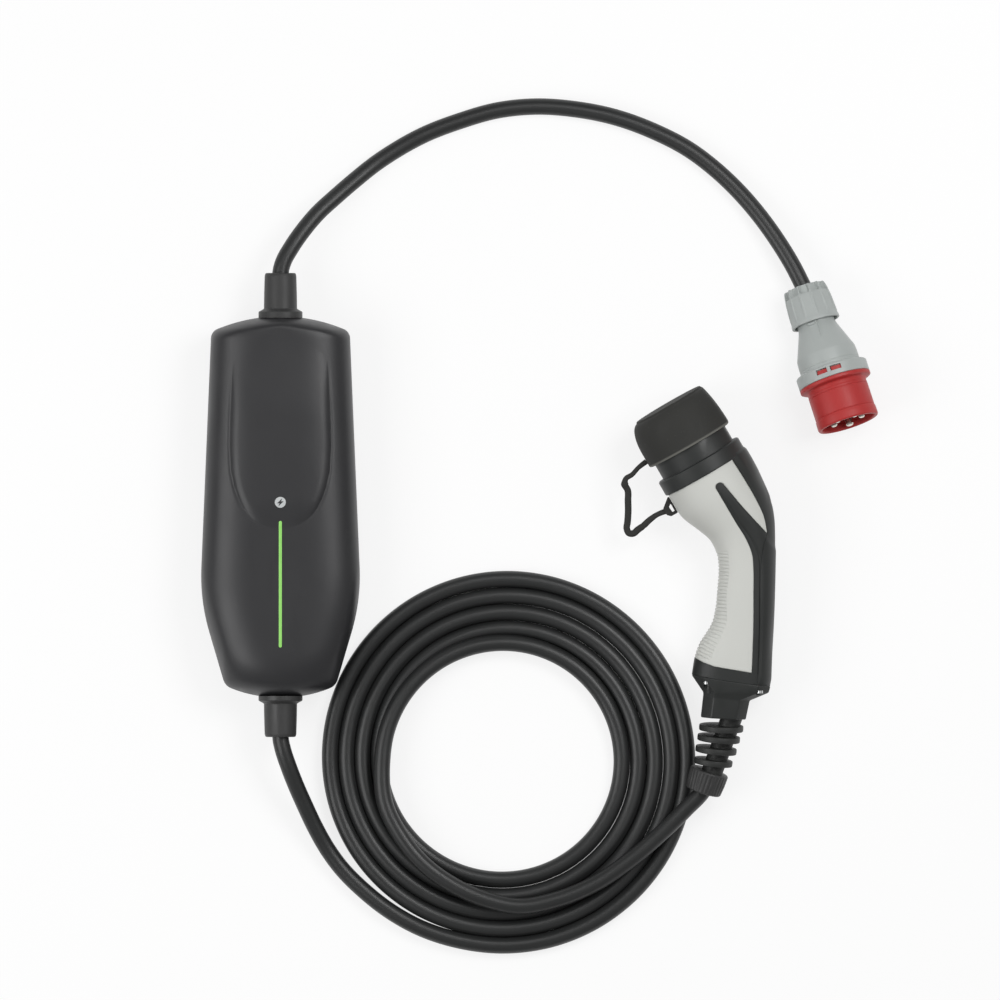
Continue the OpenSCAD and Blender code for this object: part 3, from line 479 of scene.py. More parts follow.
glow = Finish("light_guide", Emission_Strength=0.5, Roughness=0.25)
pulse = glow.place.noise(120.0, 2.0)
glow.feed("Base Color", pulse.blend(srgb(92, 142, 68), srgb(108, 158, 82)))
glow.feed("Emission Color", pulse.blend(srgb(150, 226, 108), srgb(170, 238, 128)))
glow.bump(glow.place.noise(900.0, 2.0), 0.00001)
FINISHES["light_guide"] = glow

clear = Finish("indicator_lens", Roughness=0.18, Coat_Weight=0.4)
haze = clear.place.noise(500.0, 3.0)
clear.feed("Base Color", haze.blend(srgb(188, 191, 192), srgb(204, 207, 207)))
clear.bump(haze, 0.00001)
FINISHES["indicator_lens"] = clear


def dress(piece, name=None):
    """Gives a piece its finish; the slot's name is the default."""
    piece.data.materials.clear()
    piece.data.materials.append(FINISHES[name or piece["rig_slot"]].material)
    return piece


print("finishes:", sorted(FINISHES))

# %% [markdown]
# ## Floor and light
# The photograph has a white floor with hardly any shadow, and broad lights that draw pale edges on
# the dark box: one on the left, one on the right and a weak one high up. The dome is a nearly even
# grey, which fills the shadows. The floor is a pale sheet that keeps the shadow, and for what is
# seen directly, in a gloss or through glass, most of it is plain white.

# %% Floor and light
def floor_sheet():
    """A wide flat grid on the floor, pale enough to come out white."""
    span = np.linspace(-9000, 9000, 13)
    x, y = np.meshgrid(span, span)
    rows = np.dstack([x, y, np.full_like(x, -0.15)])
    mesh = bpy.data.meshes.new("floor")
    mesh.from_pydata(rows.reshape(-1, 3) * MM, [], grid_faces(*x.shape, False).tolist())
    sheet = bpy.data.objects.new("floor", mesh)
    bpy.context.scene.collection.objects.link(sheet)
    return sheet


pale = Finish("floor_paper", Roughness=0.9, Specular_IOR_Level=0.1)
pale.feed("Base Color", pale.place.noise(3.0, 2.0).blend(srgb(250, 250, 250), srgb(252, 252, 252)))
seen = sum((pale.place.node("LightPath", out=f"Is {kind} Ray") for kind in ("Glossy", "Transmission")),
           pale.place.node("LightPath", out="Is Camera Ray"))
white = pale.place.node("Emission", None, {"Color": (1, 1, 1, 1), "Strength": 1.0})
matt = Signal(pale.tree, pale.shader.outputs[0])
paper = pale.place.node("MixShader", None, {0: seen * 0.8, 1: matt, 2: white})
pale.tree.links.new(paper.socket, pale.tree.nodes["Material Output"].inputs["Surface"])
floor = floor_sheet()
floor.data.materials.append(pale.material)


def lamp(name, place, aim, size, watts):
    """A broad rectangular lamp at a place, turned to look at a point."""
    data = bpy.data.lights.new(name, "AREA")
    data.shape, data.size, data.size_y, data.energy = "RECTANGLE", *size, watts
    made = bpy.data.objects.new(name, data)
    made.location = place
    back = np.array(place, float) - np.array(aim, float)
    made.rotation_euler = (np.arctan2(np.hypot(back[0], back[1]), back[2]), 0, np.arctan2(back[0], -back[1]))
    bpy.context.scene.collection.objects.link(made)


lamp("lamp_above", (0.13, 1.04, 2.5), (0.2, 0, 0), (1.2, 0.8), 6)
lamp("lamp_left", (-1.25, -0.3, 1.4), (0, -0.03, 0.03), (1.4, 1.1), 17)
lamp("lamp_right", (1.15, 0.6, 1.7), (0.1, 0.05, 0.03), (1.0, 0.8), 18)

sky = bpy.data.worlds.new("dome")
sky.use_nodes = True
bpy.context.scene.world = sky
air = Signal(sky.node_tree)
height = air.node("SeparateXYZ", None, {0: air.node("TexCoord", out="Generated")}, out="Z")
grey = height.between(0.05, 0.9).blend((0.3, 0.3, 0.3, 1), (0.31, 0.31, 0.31, 1))
sky.node_tree.links.new(grey.socket, sky.node_tree.nodes["Background"].inputs["Color"])
bpy.context.scene.view_settings.view_transform = "Standard"

# %% [markdown]
# ## The outline of the box
# Seen from above the box is a shield: two bowed ends, long sides that widen down to a waist, and
# then draw in to the foot. It could be drawn as a Bezier curve, but eight corners, each with its own
# radius, say the same with numbers that match the CAD model. Only the foot is let down by three
# millimetres, as the photograph shows it.

# %% Outlines with round corners
def fillet(before, corner, after, radius, steps):
    """Arc that touches both legs of a corner: its middle is on the bisector at radius / sin(half angle)."""
    a, b = before - corner, after - corner
    a, b = a / np.linalg.norm(a), b / np.linalg.norm(b)
    half = np.arccos(np.clip(a @ b, -1, 1)) / 2
    middle = corner + (a + b) / np.linalg.norm(a + b) * radius / np.sin(half)
    first, last = (corner + leg * radius / np.tan(half) - middle for leg in (a, b))
    start = np.arctan2(first[1], first[0])
    sweep = (np.arctan2(last[1], last[0]) - start + np.pi) % (2 * np.pi) - np.pi
    way = start + sweep * np.linspace(0, 1, steps + 1)
    return middle + radius * np.column_stack([np.cos(way), np.sin(way)])


def round_off(corners, closed, steps=6):
    """Line through corners, each (x, y, radius), with the corners rounded off."""
    at = np.array([c[:2] for c in corners], float)
    count = len(at)
    line = []
    for i, (x, y, radius) in enumerate(corners):
        if radius <= 0 or (not closed and i in (0, count - 1)):
            line.append(np.array([[x, y]], float))
        else:
            line.append(fillet(at[i - 1], at[i], at[(i + 1) % count], radius, steps))
    return np.concatenate(line)


def even_loop(points, count):
    """A closed line cut into even steps, from its first point."""
    ring = np.vstack([points, points[:1]])
    length = arc_length(ring)
    even = np.linspace(0, length[-1], count, endpoint=False)
    return np.column_stack([np.interp(even, length, ring[:, k]) for k in (0, 1)])


HALF_LEN, HALF_WAIST, HALF_CROWN, HALF_FOOT, WAIST_Y = 141.5, 60.5, 52, 41.5, -73
CROWN_R, FOOT_R, END_ANGLE, FOOT_DROP = 122, 101, np.radians(20.5), 3.0
CROWN_TIP = HALF_LEN + CROWN_R * (1 / np.cos(END_ANGLE) - 1)
FOOT_TIP = -HALF_LEN - FOOT_R * (1 / np.cos(END_ANGLE) - 1)
CROWN_Y, FOOT_Y = CROWN_TIP - HALF_CROWN * np.tan(END_ANGLE), FOOT_TIP + HALF_FOOT * np.tan(END_ANGLE)
COLUMNS = 480
shield = round_off([
    (0, FOOT_TIP, FOOT_R), (HALF_FOOT, FOOT_Y, 10), (HALF_WAIST, WAIST_Y, 150), (HALF_CROWN, CROWN_Y, 8),
    (0, CROWN_TIP, CROWN_R), (-HALF_CROWN, CROWN_Y, 8), (-HALF_WAIST, WAIST_Y, 150), (-HALF_FOOT, FOOT_Y, 10),
], True, 24)
shield = np.roll(shield, -12, axis=0)
shield[:, 1] -= FOOT_DROP * step(-92, -138, shield[:, 1])
OUTLINE = even_loop(shield, COLUMNS)
print("box outline", np.ptp(OUTLINE, axis=0).round(1), "mm")

# %% [markdown]
# ## How high is the upper face?
# The sides of the box rise steeply and roll over into a nearly flat face: a quarter of a
# superellipse, wide along the sides and short at the two ends. On the face lies a raised tongue
# with a fine crease round its foot, and that tongue fades away at both ends. With one function for
# the height of any point, the shell, the light bar and the lens all agree on where the surface is.

# %% Height of the upper face
SIDE_ROLL, CROWN_ROLL, FOOT_ROLL, POWER = 46.0, 9.0, 34.0, 2.5
FACE_Z, RIM_Z, TONGUE_RISE, CREASE_DEPTH, TONGUE_POINTS = 58.0, 29.5, 1.6, 0.36, 1920
tongue_y = np.array([-18, -16, -13, -8, -2, 5, 14, 26, 45, 66, 86, 106, 116, 121, 123.0])
tongue_x = np.array([0, 11, 17.5, 23.5, 27.8, 31.2, 34.4, 36.9, 37.9, 37.4, 36.5, 35.6, 30, 18, 0])
TONGUE = even_loop(np.concatenate([
    np.column_stack([tongue_x, tongue_y]), np.column_stack([-tongue_x, tongue_y])[-2:0:-1]]), TONGUE_POINTS)
TONGUE = np.array([np.roll(TONGUE, -k, axis=0) for k in range(-24, 25)]).mean(axis=0)


def plan_inset(inset):
    """The outline drawn in: each point shrinks to the middle, by share of half width and half length."""
    inset = np.asarray(inset, float)[..., None]
    x, y = OUTLINE[:, 0] * (1 - inset / HALF_WAIST), OUTLINE[:, 1] * (1 - inset / HALF_LEN)
    return np.stack([x, y], axis=-1)


right_half = OUTLINE[OUTLINE[:, 0] > -0.001]
right_half = right_half[np.argsort(right_half[:, 1])]
foot_half, crown_half = np.split(right_half, [right_half[:, 0].argmax()])
crown_half = crown_half[::-1]


def rolled(far, reach):
    """Quarter superellipse: nought at the edge, one where far is the reach or more."""
    return (1 - np.clip(1 - far / reach, 0, 1) ** POWER) ** (1 / POWER)


def box_height(x, y):
    """Height without the tongue: a wide roll from the sides times a short one from each end."""
    from_side = np.interp(y, right_half[:, 1], right_half[:, 0]) - np.abs(x)
    from_crown = np.interp(np.abs(x), crown_half[:, 0], crown_half[:, 1]) - y
    from_foot = y - np.interp(np.abs(x), foot_half[:, 0], foot_half[:, 1])
    share = rolled(from_side, SIDE_ROLL) * rolled(from_crown, CROWN_ROLL) * rolled(from_foot, FOOT_ROLL)
    return RIM_Z + (FACE_Z - RIM_Z) * share


def tongue_distance(x, y):
    """Distance to the tongue's edge, positive inside it."""
    points = np.column_stack([x.ravel(), y.ravel()])
    edge = TONGUE[::2]
    far = np.concatenate([np.sqrt(((part[:, None] - edge[None]) ** 2).sum(-1).min(1))
                          for part in np.array_split(points, 40)])
    span = np.interp(points[:, 1], tongue_y, tongue_x, left=0, right=0)
    return np.where(np.abs(points[:, 0]) < span, far, -far).reshape(x.shape)


def face_height(x, y):
    """The rolled box, the tongue's rounded step and the soft crease at its foot."""
    far = tongue_distance(x, y)
    fade = step(121, 66, y) * step(-21, 4, y)
    rise = TONGUE_RISE * (1 - (1 - np.clip(far / 7.0, 0, 1)) ** 2.3)
    crease = CREASE_DEPTH * np.exp(-((far + 0.6) / 1.2) ** 2)
    return box_height(x, y) + fade * (rise - crease)


print("face height at the lens", face_height(np.array([0.0]), np.array([2.0])).round(2), "mm")

# %% [markdown]
# ## Upper shell
# The grid starts at the rim as copies of the outline drawn in step by step, then bends over to the
# edge of the tongue, so that a line of the mesh runs exactly along the crease, and at last runs in
# to the middle. A crease that cuts across a grid would come out ragged.

# %% Upper shell
def upper_shell():
    """Rows: rim edge, roll, bridge from the roll to the tongue's edge, and the tongue itself."""
    roll = SIDE_ROLL * (1 - np.cos(np.radians(np.linspace(0, 45, 22))) ** (2 / POWER))
    rim = plan_inset(np.array([1.2, 0.35]))
    sides = plan_inset(roll)
    edge = TONGUE[np.linspace(0, TONGUE_POINTS, COLUMNS, endpoint=False).astype(int)]
    t = np.linspace(0, 1, 38)[1:, None, None]
    bridge = sides[-1] + (edge - sides[-1]) * (1 - (1 - t) ** 2.0)
    t = np.linspace(0, 1, 40)[1:, None, None]
    inner = edge + (np.array([0, 50.0]) - edge) * 0.985 * t ** 1.7
    plan = np.concatenate([sides, bridge, inner])
    z = face_height(plan[..., 0], plan[..., 1])
    z[0] = RIM_Z + 0.7
    lip = np.dstack([rim, np.stack([np.full(COLUMNS, RIM_Z), np.full(COLUMNS, RIM_Z + 0.12)])])
    return np.concatenate([lip, np.dstack([plan, z])])


shell_rows = upper_shell()
upper = grid_skin("upper_shell", [shell_rows], "box_plastic", sharp=50)
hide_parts("box_top_shell")
print("upper shell", shell_rows.shape[:2], "top at", shell_rows[..., 2].max().round(2), "mm")

# %% [markdown]
# ## Rear shell
# The rear half is the same outline with a tighter roll and a flat back, sunk where its six screws
# sit. The wells are cut with a boolean, which is the plain way to put holes across a grid.

# %% Rear shell
def rear_shell():
    """Rows from the rim down: a superellipse of power 3, then flat rings to the middle."""
    a = np.radians(np.linspace(0, 90, 22))
    inset = np.concatenate([[1.2, 0.35], 10 * (1 - np.cos(a) ** (2 / 3)), np.linspace(13, 58, 9)])
    z = np.concatenate([[28.5, 28.38], 28.5 * (1 - np.sin(a) ** (2 / 3)), np.zeros(9)])
    z[2] = 27.8
    plan = plan_inset(inset)[:, ::2]
    return np.dstack([plan, np.broadcast_to(z[:, None], plan.shape[:2])])[:, ::-1]


def cut_away(piece, cutter):
    """Takes one closed mesh out of another for good."""
    tool = piece.modifiers.new("cut", "BOOLEAN")
    tool.object, tool.operation, tool.solver = cutter, "DIFFERENCE", "EXACT"
    bpy.context.view_layer.update()
    piece.data = bpy.data.meshes.new_from_object(piece.evaluated_get(bpy.context.evaluated_depsgraph_get()))
    piece.modifiers.clear()
    bpy.data.objects.remove(cutter)
    piece.data.set_sharp_from_angle(angle=np.radians(40))


def post(x, y, low, high, radius, sides=32):
    """Upright cylinder as two rings."""
    a = np.linspace(0, 2 * np.pi, sides, endpoint=False)
    ring = np.column_stack([x + radius * np.cos(a), y + radius * np.sin(a)])
    return np.stack([np.column_stack([ring, np.full(sides, z)]) for z in (low, high)])


SCREWS = [(39, 108), (-39, 108), (44, -30), (-44, -30), (33, -120), (-33, -120)]
rear = grid_skin("rear_shell", [rear_shell()], "box_plastic", sharp=50)
wells = grid_skin("wells", [post(x, y, -1, 3, 3.4) for x, y in SCREWS], "box_plastic", body=None)
cut_away(rear, wells)
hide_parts("box_rear_shell")
print("rear shell", len(rear.data.polygons), "faces")

# %% [markdown]
# ## Finish of the box
# The box is dark grey, finely grained and a little silky, so its rolled edges shine and its face
# stays deep. Where the light bar and the lens are let in, a hair of shadow shows round them. The
# shadow is a distance worked out in the shader: how far a point is from the bar's middle line.

# %% Box finish
BAR_Y, BAR_HALF, BAR_R, LENS_Y, LENS_R = -59.35, 46.3, 1.15, 2.0, 4.1
box_finish = moulded("box_plastic", srgb(39, 39, 41), 0.42, grain=0.55, depth=0.00002, cloud=0.06, rub=0.06,
                     specular=0.5)
spot = box_finish.place
across, along = (spot.node("SeparateXYZ", None, {0: spot}, out=axis) for axis in ("X", "Y"))


def gap_mask(middle_y, half_length, radius):
    """1 in a thin line at a distance of radius from an upright bar, 0 elsewhere."""
    past = ((along - middle_y * MM).math("ABSOLUTE") - half_length * MM).math("MAXIMUM", 0.0)
    away = (past * past + across * across).math("SQRT")
    return 1 - (away - radius * MM).math("ABSOLUTE").between(0.00008, 0.00032)


shadow = gap_mask(BAR_Y, BAR_HALF, BAR_R + 0.15) + gap_mask(LENS_Y, 0.0, LENS_R + 0.2)
box_finish.feed("Base Color", (shadow * 0.8).blend(box_finish.colour(), (0.004, 0.004, 0.004, 1)))
for piece in (upper, rear):
    dress(piece)
print("box dressed")

# %% [markdown]
# ## Light bar, lens and charge mark
# The bar is a slim capsule and the lens a low dome, both standing a fifth of a millimetre over the
# face that carries them. The mark on the lens is the common lightning sign for charging, as a thin
# plate with six corners.

# %% Indicators
def capsule_rows(middle_y, half_length, radius, proud, dome, rows=7):
    """Rings of a capsule from its foot up and in: a quarter circle for the rounded edge, then the top.
    Its straight sides have a column every millimetre, so that they follow the curve of the face."""
    straight = np.linspace(-half_length, half_length, int(2 * half_length) + 1)
    arc = np.linspace(0, np.pi, 32)[1:-1]
    one, none, end = np.ones_like(straight), 0 * straight, np.full_like(arc, half_length)
    out_x = np.concatenate([one, np.cos(arc), -one, -np.cos(arc)])
    out_y = np.concatenate([none, np.sin(arc), none, -np.sin(arc)])
    along_y = np.concatenate([straight, end, -straight, -end])
    t = np.linspace(0, 1, rows)[:, None]
    shrink = radius * np.concatenate([[[1.0]], 1 - 0.9 * (1 - np.cos(t * np.pi / 2))])
    lift = np.concatenate([[[-1.0]], proud + dome * np.sin(t * np.pi / 2)])
    x, y = shrink * out_x, middle_y + along_y + shrink * out_y
    return np.dstack([x, y, face_height(np.zeros_like(x), y) + lift])


bar = dress(grid_skin("glow_bar", [capsule_rows(BAR_Y, BAR_HALF, BAR_R, 0.02, 0.18)], "light_guide"))
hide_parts("light_bar")
lens = dress(grid_skin("lens_dome", [capsule_rows(LENS_Y, 0.0, LENS_R, 0.02, 0.2)], "indicator_lens"))
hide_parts("charge_lens")


def plate(name, corners, slot, low, high):
    """Flat piece from plan corners: one ring below and one above, both closed."""
    ring = np.asarray(corners, float)
    rows = np.stack([np.column_stack([ring, np.full(len(ring), z)]) for z in (low, high)])
    made = bpy.data.meshes.new(name)
    count = len(ring)
    lids = [list(range(count))[::-1], list(range(count, 2 * count))]
    made.from_pydata(rows.reshape(-1, 3) * MM, [], grid_faces(2, count, True).tolist() + lids)
    piece = bpy.data.objects.new(name, made)
    bpy.context.scene.collection.objects.link(piece)
    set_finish(piece, slot)
    return dress(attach(piece, "charger"))


lens_top = face_height(np.zeros(1), np.array([LENS_Y]))[0]
bolt = np.array([[1.4, 2.9], [-2.5, -0.7], [-0.55, -0.7], [-1.4, -2.9], [2.5, 0.75], [0.55, 0.75]])
mark = plate("charge_mark", bolt + [0, LENS_Y], "box_plastic", lens_top + 0.1, lens_top + 0.3)
print("bar", bar.dimensions.y, "lens", lens.dimensions.x, "mark", mark.dimensions.y)

# %% [markdown]
# ## Strain reliefs
# Each relief is a turned form: a flange against the end of the box, then a slightly tapered sleeve.
# Its profile is drawn once as corners with radii and swept round the cable.

# %% Strain reliefs
def lathe(profile, sides):
    """Profile of (radius, height) rows swept about Z."""
    a = np.linspace(0, 2 * np.pi, sides, endpoint=False)
    r, h = profile[:, :1], profile[:, 1:]
    return np.dstack([r * np.cos(a), r * np.sin(a), np.broadcast_to(h, (len(r), sides))])


def sleeve(start, flange):
    """Profile of a relief: a flange from start, then the tapered sleeve to 174 mm from the middle."""
    return round_off([
        (6.0, start, 0), (16.5, start, 0), (16.5, flange, 1.0), (13.9, flange + 1.4, 0.8),
        (12.45, flange + 2.3, 0.8), (12.3, 158, 20), (11.9, 171.8, 3), (11.3, 174, 1.4), (7.4, 174, 0.8),
        (6.9, 172.6, 0), (6.0, 172.4, 0),
    ], False)


for name, node, way, profile in (("upper_relief", "inlet_relief", 0, sleeve(140.3, 144.9)),
                                 ("lower_relief", "outlet_relief", 180, sleeve(143.2, 146.7))):
    rows = placed(lathe(profile, 72), turn("Z", way) @ turn("X", -90), [0, 0, 29])
    relief = dress(grid_skin(name, [rows], "relief_rubber", sharp=35))
    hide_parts(node)
print("reliefs end at", rows[..., 1].min().round(1))

# %% [markdown]
# ## Gland nut
# The plug's rear end is a nut that squeezes a seal round the cable. Twelve slim ribs give a grip,
# and behind them the nut is hollowed into twelve pockets. A boolean for each pocket would work,
# but the nut is also a lathe whose radius depends on the angle, and so a formula holds it all.

# %% Gland nut
PLUG_TILT, PLUG_TURN, PLUG_ROLL = 9.987, 18.0, 4.0
PLUG = turn("Z", PLUG_TURN) @ turn("X", 90 - PLUG_TILT) @ turn("Z", PLUG_ROLL)


def on_plug(points):
    """From the plug's frame, +Z from the nut to the rim and +Y up, to the charger's."""
    return placed(points, PLUG, PLUG_END)


def turned(radius, angle, height):
    """Points at a radius, an angle and a height about Z."""
    return np.dstack([radius * np.cos(angle), radius * np.sin(angle), height + 0 * radius])


def gland_nut(ribs=12, each=32):
    """Lathe: radius(height), less a flat on each panel, plus a ridge on each rib, less rear pockets."""
    profile = np.array([
        [6.3, 0.0], [6.9, -1.2], [7.6, -1.7], [12.3, -1.7], [15.1, -1.68], [15.7, -1.0], [16.1, 0.4],
        [16.5, 2.4], [16.75, 4.6], [16.85, 5.0], [16.95, 5.6], [17.2, 7.5], [17.5, 11], [17.8, 16],
        [18.05, 21], [18.15, 23.6], [18.3, 24.2], [18.45, 24.9], [18.5, 26.4], [18.4, 26.85], [18.1, 27.0],
        [16.9, 27.0], [16.6, 26.7], [16.4, 22], [13.6, 21.6],
    ])
    a = np.linspace(0, 2 * np.pi, ribs * each, endpoint=False)[None]
    r, h = profile[:, :1], profile[:, 1:]
    span = 2 * np.pi / ribs
    from_rib = np.abs((a % span) - span / 2) * r
    ridge = np.exp(-(from_rib / 0.85) ** 4)
    middle = (a + span / 2) % span - span / 2
    outside = ((r > 14.5) & (h < 24)).astype(float)
    flat = r * (1 - np.cos(span / 2) / np.cos(middle)) * 0.85
    skirt = 1 - step(20.5, 23.6, h)
    r = r + outside * skirt * (ridge * 0.45 - flat * (1 - ridge))
    pocket = (1 - np.exp(-(from_rib / 0.95) ** 6)) * (1 - step(4.55, 5.05, h)) * outside
    r = r - pocket * (r - 13.9)
    return turned(r, a, h)


nut = dress(grid_skin("gland_nut", [on_plug(gland_nut())], "plug_grey", sharp=38))
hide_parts("plug_gland_nut")
print("gland nut", len(nut.data.polygons), "faces")

# %% [markdown]
# ## Plug body
# A grey cone widens from the nut to a collar. Two windows in the collar show the red catches of
# the insert. On the neck stand a small stop and a thin rib, which the lathe takes as bumps of its
# radius, and the windows are cut, because their corners are square.

# %% Plug body
def block(low, high):
    """Closed box as a grid: two square rings."""
    (x0, y0, z0), (x1, y1, z1) = low, high
    ring = np.array([[x0, y0], [x1, y0], [x1, y1], [x0, y1]])
    return np.stack([np.column_stack([ring, np.full(4, z)]) for z in (z0, z1)])


def plug_cone(columns=400):
    """Lathe of the body with the stop and the rib on its upper side."""
    profile = round_off([
        (11.0, 20, 0), (14.2, 20, 0), (14.25, 28.5, 4), (15.2, 32, 5), (22.7, 51.4, 6), (23.0, 56, 4),
        (23.0, 60.1, 0.2), (22.8, 60.35, 0.1), (22.8, 60.65, 0.1), (23.05, 60.9, 0.2), (23.1, 63.2, 0.4),
        (26.6, 63.7, 0.4), (27.4, 64.5, 0.5), (27.4, 72.6, 0.4), (26.9, 73.0, 0), (20, 73.0, 0),
    ], False, 4)
    length = arc_length(profile)
    even = np.unique(np.concatenate([length, np.linspace(0, length[-1], 150)]))
    r, h = (np.interp(even, length, profile[:, k])[:, None] for k in (0, 1))
    a = np.linspace(0, 2 * np.pi, columns, endpoint=False)[None]
    across = np.where(np.sin(a) > 0, r * np.cos(a), 99)
    rib = np.exp(-((across - 2.2) / 0.5) ** 2) * step(26, 28, h) * (1 - step(38, 43, h))
    stop = (1 - step(2.4, 2.8, np.abs(across + 2.4))) * step(27.2, 27.5, h) * (1 - step(29.3, 29.9, h))
    seam = np.exp(-((across + 5.2) / 0.3) ** 2) * step(28, 32, h) * (1 - step(47, 52, h))
    return turned(r + 0.85 * rib + 1.3 * stop - 0.12 * seam, a, h)


TAB_X, TAB_W, TAB_FLOOR, TAB_TOP = 5.45, 8.4, 23.4, 26.3
TAB_LOW, TAB_HIGH = 65.7, 69.5
cone = grid_skin("plug_cone", [on_plug(plug_cone())], "plug_grey", sharp=38)
windows = grid_skin("windows", [
    on_plug(block((x - TAB_W / 2, TAB_FLOOR, TAB_LOW), (x + TAB_W / 2, 30, TAB_HIGH)))
    for x in (-TAB_X, TAB_X)], "plug_grey", body=None)
cut_away(cone, windows)
dress(cone)
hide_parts("plug_body")


def catch(x0, x1, z0, z1):
    """Bar along the plug with a flat foot and a top that follows a circle about the axis."""
    x = np.linspace(x1, x0, 12)
    top = np.column_stack([x, np.sqrt(TAB_TOP ** 2 - x ** 2)])
    ring = np.vstack([[[x0, TAB_FLOOR], [x1, TAB_FLOOR]], top])
    return np.stack([np.column_stack([ring, np.full(len(ring), z)]) for z in (z0, z1)])


tabs = dress(grid_skin("red_catches", [
    on_plug(catch(x - TAB_W / 2 + 0.7, x + TAB_W / 2 - 0.1, TAB_LOW + 0.7, TAB_HIGH - 0.1))
    for x in (-TAB_X, TAB_X)], "plug_red"))
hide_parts("latch_tabs")
print("plug body", len(cone.data.polygons), "faces")

# %% [markdown]
# ## Red insert
# In front of the collar sits the red insert: a flange, a shroud with two fine ring lines, and a rim
# that is a little thicker. Its wall is open at the front, so the profile runs out along the outside
# and back along the bore, and the last row joins the first.

# %% Red insert
INSERT = round_off([
    (21.0, 66.2, 0), (24.9, 66.2, 0), (24.9, 73.1, 0), (27.1, 73.1, 0.2), (27.4, 73.5, 0.3),
    (27.4, 75.6, 0.5), (26.2, 76.3, 0.5), (23.3, 77.0, 1.4), (22.7, 79.4, 0.6), (22.95, 80.6, 0.5),
    (22.95, 81.7, 0.1), (22.65, 81.95, 0.1), (22.65, 82.25, 0.1), (23.0, 82.5, 0.1), (23.0, 98.7, 0.1),
    (22.75, 98.9, 0.1), (22.75, 99.15, 0.1), (23.3, 99.5, 0.3), (23.5, 102, 2), (23.5, 105.9, 0.8),
    (22.8, 107, 0.6), (20.9, 107, 0.6), (20.4, 106.0, 0.5), (20.5, 103, 0.6), (21.0, 101.6, 0.6),
    (21.0, 82.2, 0),
], False, 4)
insert = dress(grid_skin("red_insert", [on_plug(lathe(INSERT, 128))], "plug_red", ends=None, sharp=38))
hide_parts("plug_front")
print("red insert", insert.dimensions[:])

# %% [markdown]
# ## The connector's grip as one surface
# The grip is a loft: at each station along it, a superellipse spans from the finger side to the
# spine. Grey panels and black frame share that surface, so one function gives a point from its
# station, its share across and its side, and the pieces differ only in which part they cover and
# how high they lie.

# %% Grip surface
NOSE_ANGLE = 30.0
NOSE = GUN @ turn("Z", NOSE_ANGLE) @ turn("X", -90)
# Finger side x and y, spine x and y, half thickness, squareness
STATIONS = np.array([
    [-24.2, -23.2, 33.1, 9.9, 32.6, 2], [-13, -42, 44.3, -8.8, 31, 2], [0.5, -53, 54, -29, 27, 2.1],
    [9, -60.5, 57.2, -42, 24.3, 2.2], [14, -71, 58, -57, 22.2, 2.3], [15.3, -83, 57.8, -73, 21, 2.4],
    [14.2, -98, 57.4, -92, 20.4, 2.5], [12.8, -112, 56.9, -110, 20.2, 2.5],
    [9.5, -124, 56.2, -126, 20.3, 2.5], [1.2, -137.5, 55.2, -144, 20.6, 2.5],
    [-2.5, -148, 54.7, -157, 20.8, 2.5], [-4.7, -161, 54.3, -169.7, 20.5, 2.5],
])
LAST = len(STATIONS) - 1


def on_nose(points):
    """From the nose's frame, +Z out of it and +X to the spine, to the charger's."""
    return placed(points, NOSE, GUN_POS)


def nose_plan(u, v):
    """Plan point of the connector from its place across and along the nose."""
    c, s = np.cos(np.radians(NOSE_ANGLE)), np.sin(np.radians(NOSE_ANGLE))
    return [u * c - v * s, u * s + v * c]


def station(t):
    """Catmull-Rom curve through the stations, with t counted in rows."""
    t = np.asarray(t, float)
    i = np.clip(np.floor(t).astype(int), 0, LAST - 1)
    f = (t - i)[..., None]
    a, b, c, d = (STATIONS[np.clip(i + k, 0, LAST)] for k in (-1, 0, 1, 2))
    return b + f * ((c - a) + f * ((2 * a - 5 * b + 4 * c - d) + f * (3 * b - a - 3 * c + d))) / 2


def grip_row(t):
    """Middle, direction across and half width of the grip at a station."""
    s = station(t)
    reach = s[..., 2:4] - s[..., 0:2]
    half = np.linalg.norm(reach, axis=-1) / 2
    return (s[..., 0:2] + s[..., 2:4]) / 2, reach / (2 * half)[..., None], half


def grip_point(t, w, side, level):
    """Share w across gives rise (1 - |w|^p)^(1/p); level moves the surface in or out."""
    middle, across, half = grip_row(t)
    s = station(t)
    rise = np.clip(1 - np.abs(w) ** s[..., 5], 0, 1) ** (1 / s[..., 5])
    plan = middle + ((half + level) * w)[..., None] * across
    return np.concatenate([plan, (side * (s[..., 4] + level) * rise)[..., None]], axis=-1)


def crossing(line, t):
    """Share across at which each station's line meets a plan line."""
    middle, across, half = grip_row(t)
    away = line[None] - middle[:, None]
    off = away[..., 0] * across[:, None, 1] - away[..., 1] * across[:, None, 0]
    k = np.argmax(off[:, :-1] * off[:, 1:] <= 0, axis=1)
    n = np.arange(len(t))
    f = off[n, k] / (off[n, k] - off[n, k + 1])
    along = (away * across[:, None]).sum(-1)
    return (along[n, k] + f * (along[n, k + 1] - along[n, k])) / half


print("grip is", round(2 * grip_row(np.array([6.0]))[2][0], 1), "mm across at its middle")

# %% [markdown]
# ## Where grey meets black
# Three lines drawn in plan part the pieces: the grey panel's inner edge, which runs down along a
# black blade with a round tip; the blade's outer edge; and the edge of the spine. A grid whose
# columns follow these lines gives clean seams, where a boolean would leave slivers.

# %% Seams on the grip
def plan_line(points):
    """Smooth plan line through points."""
    return smooth_line([[*p, 0] for p in points], 0.4)[:, :2]


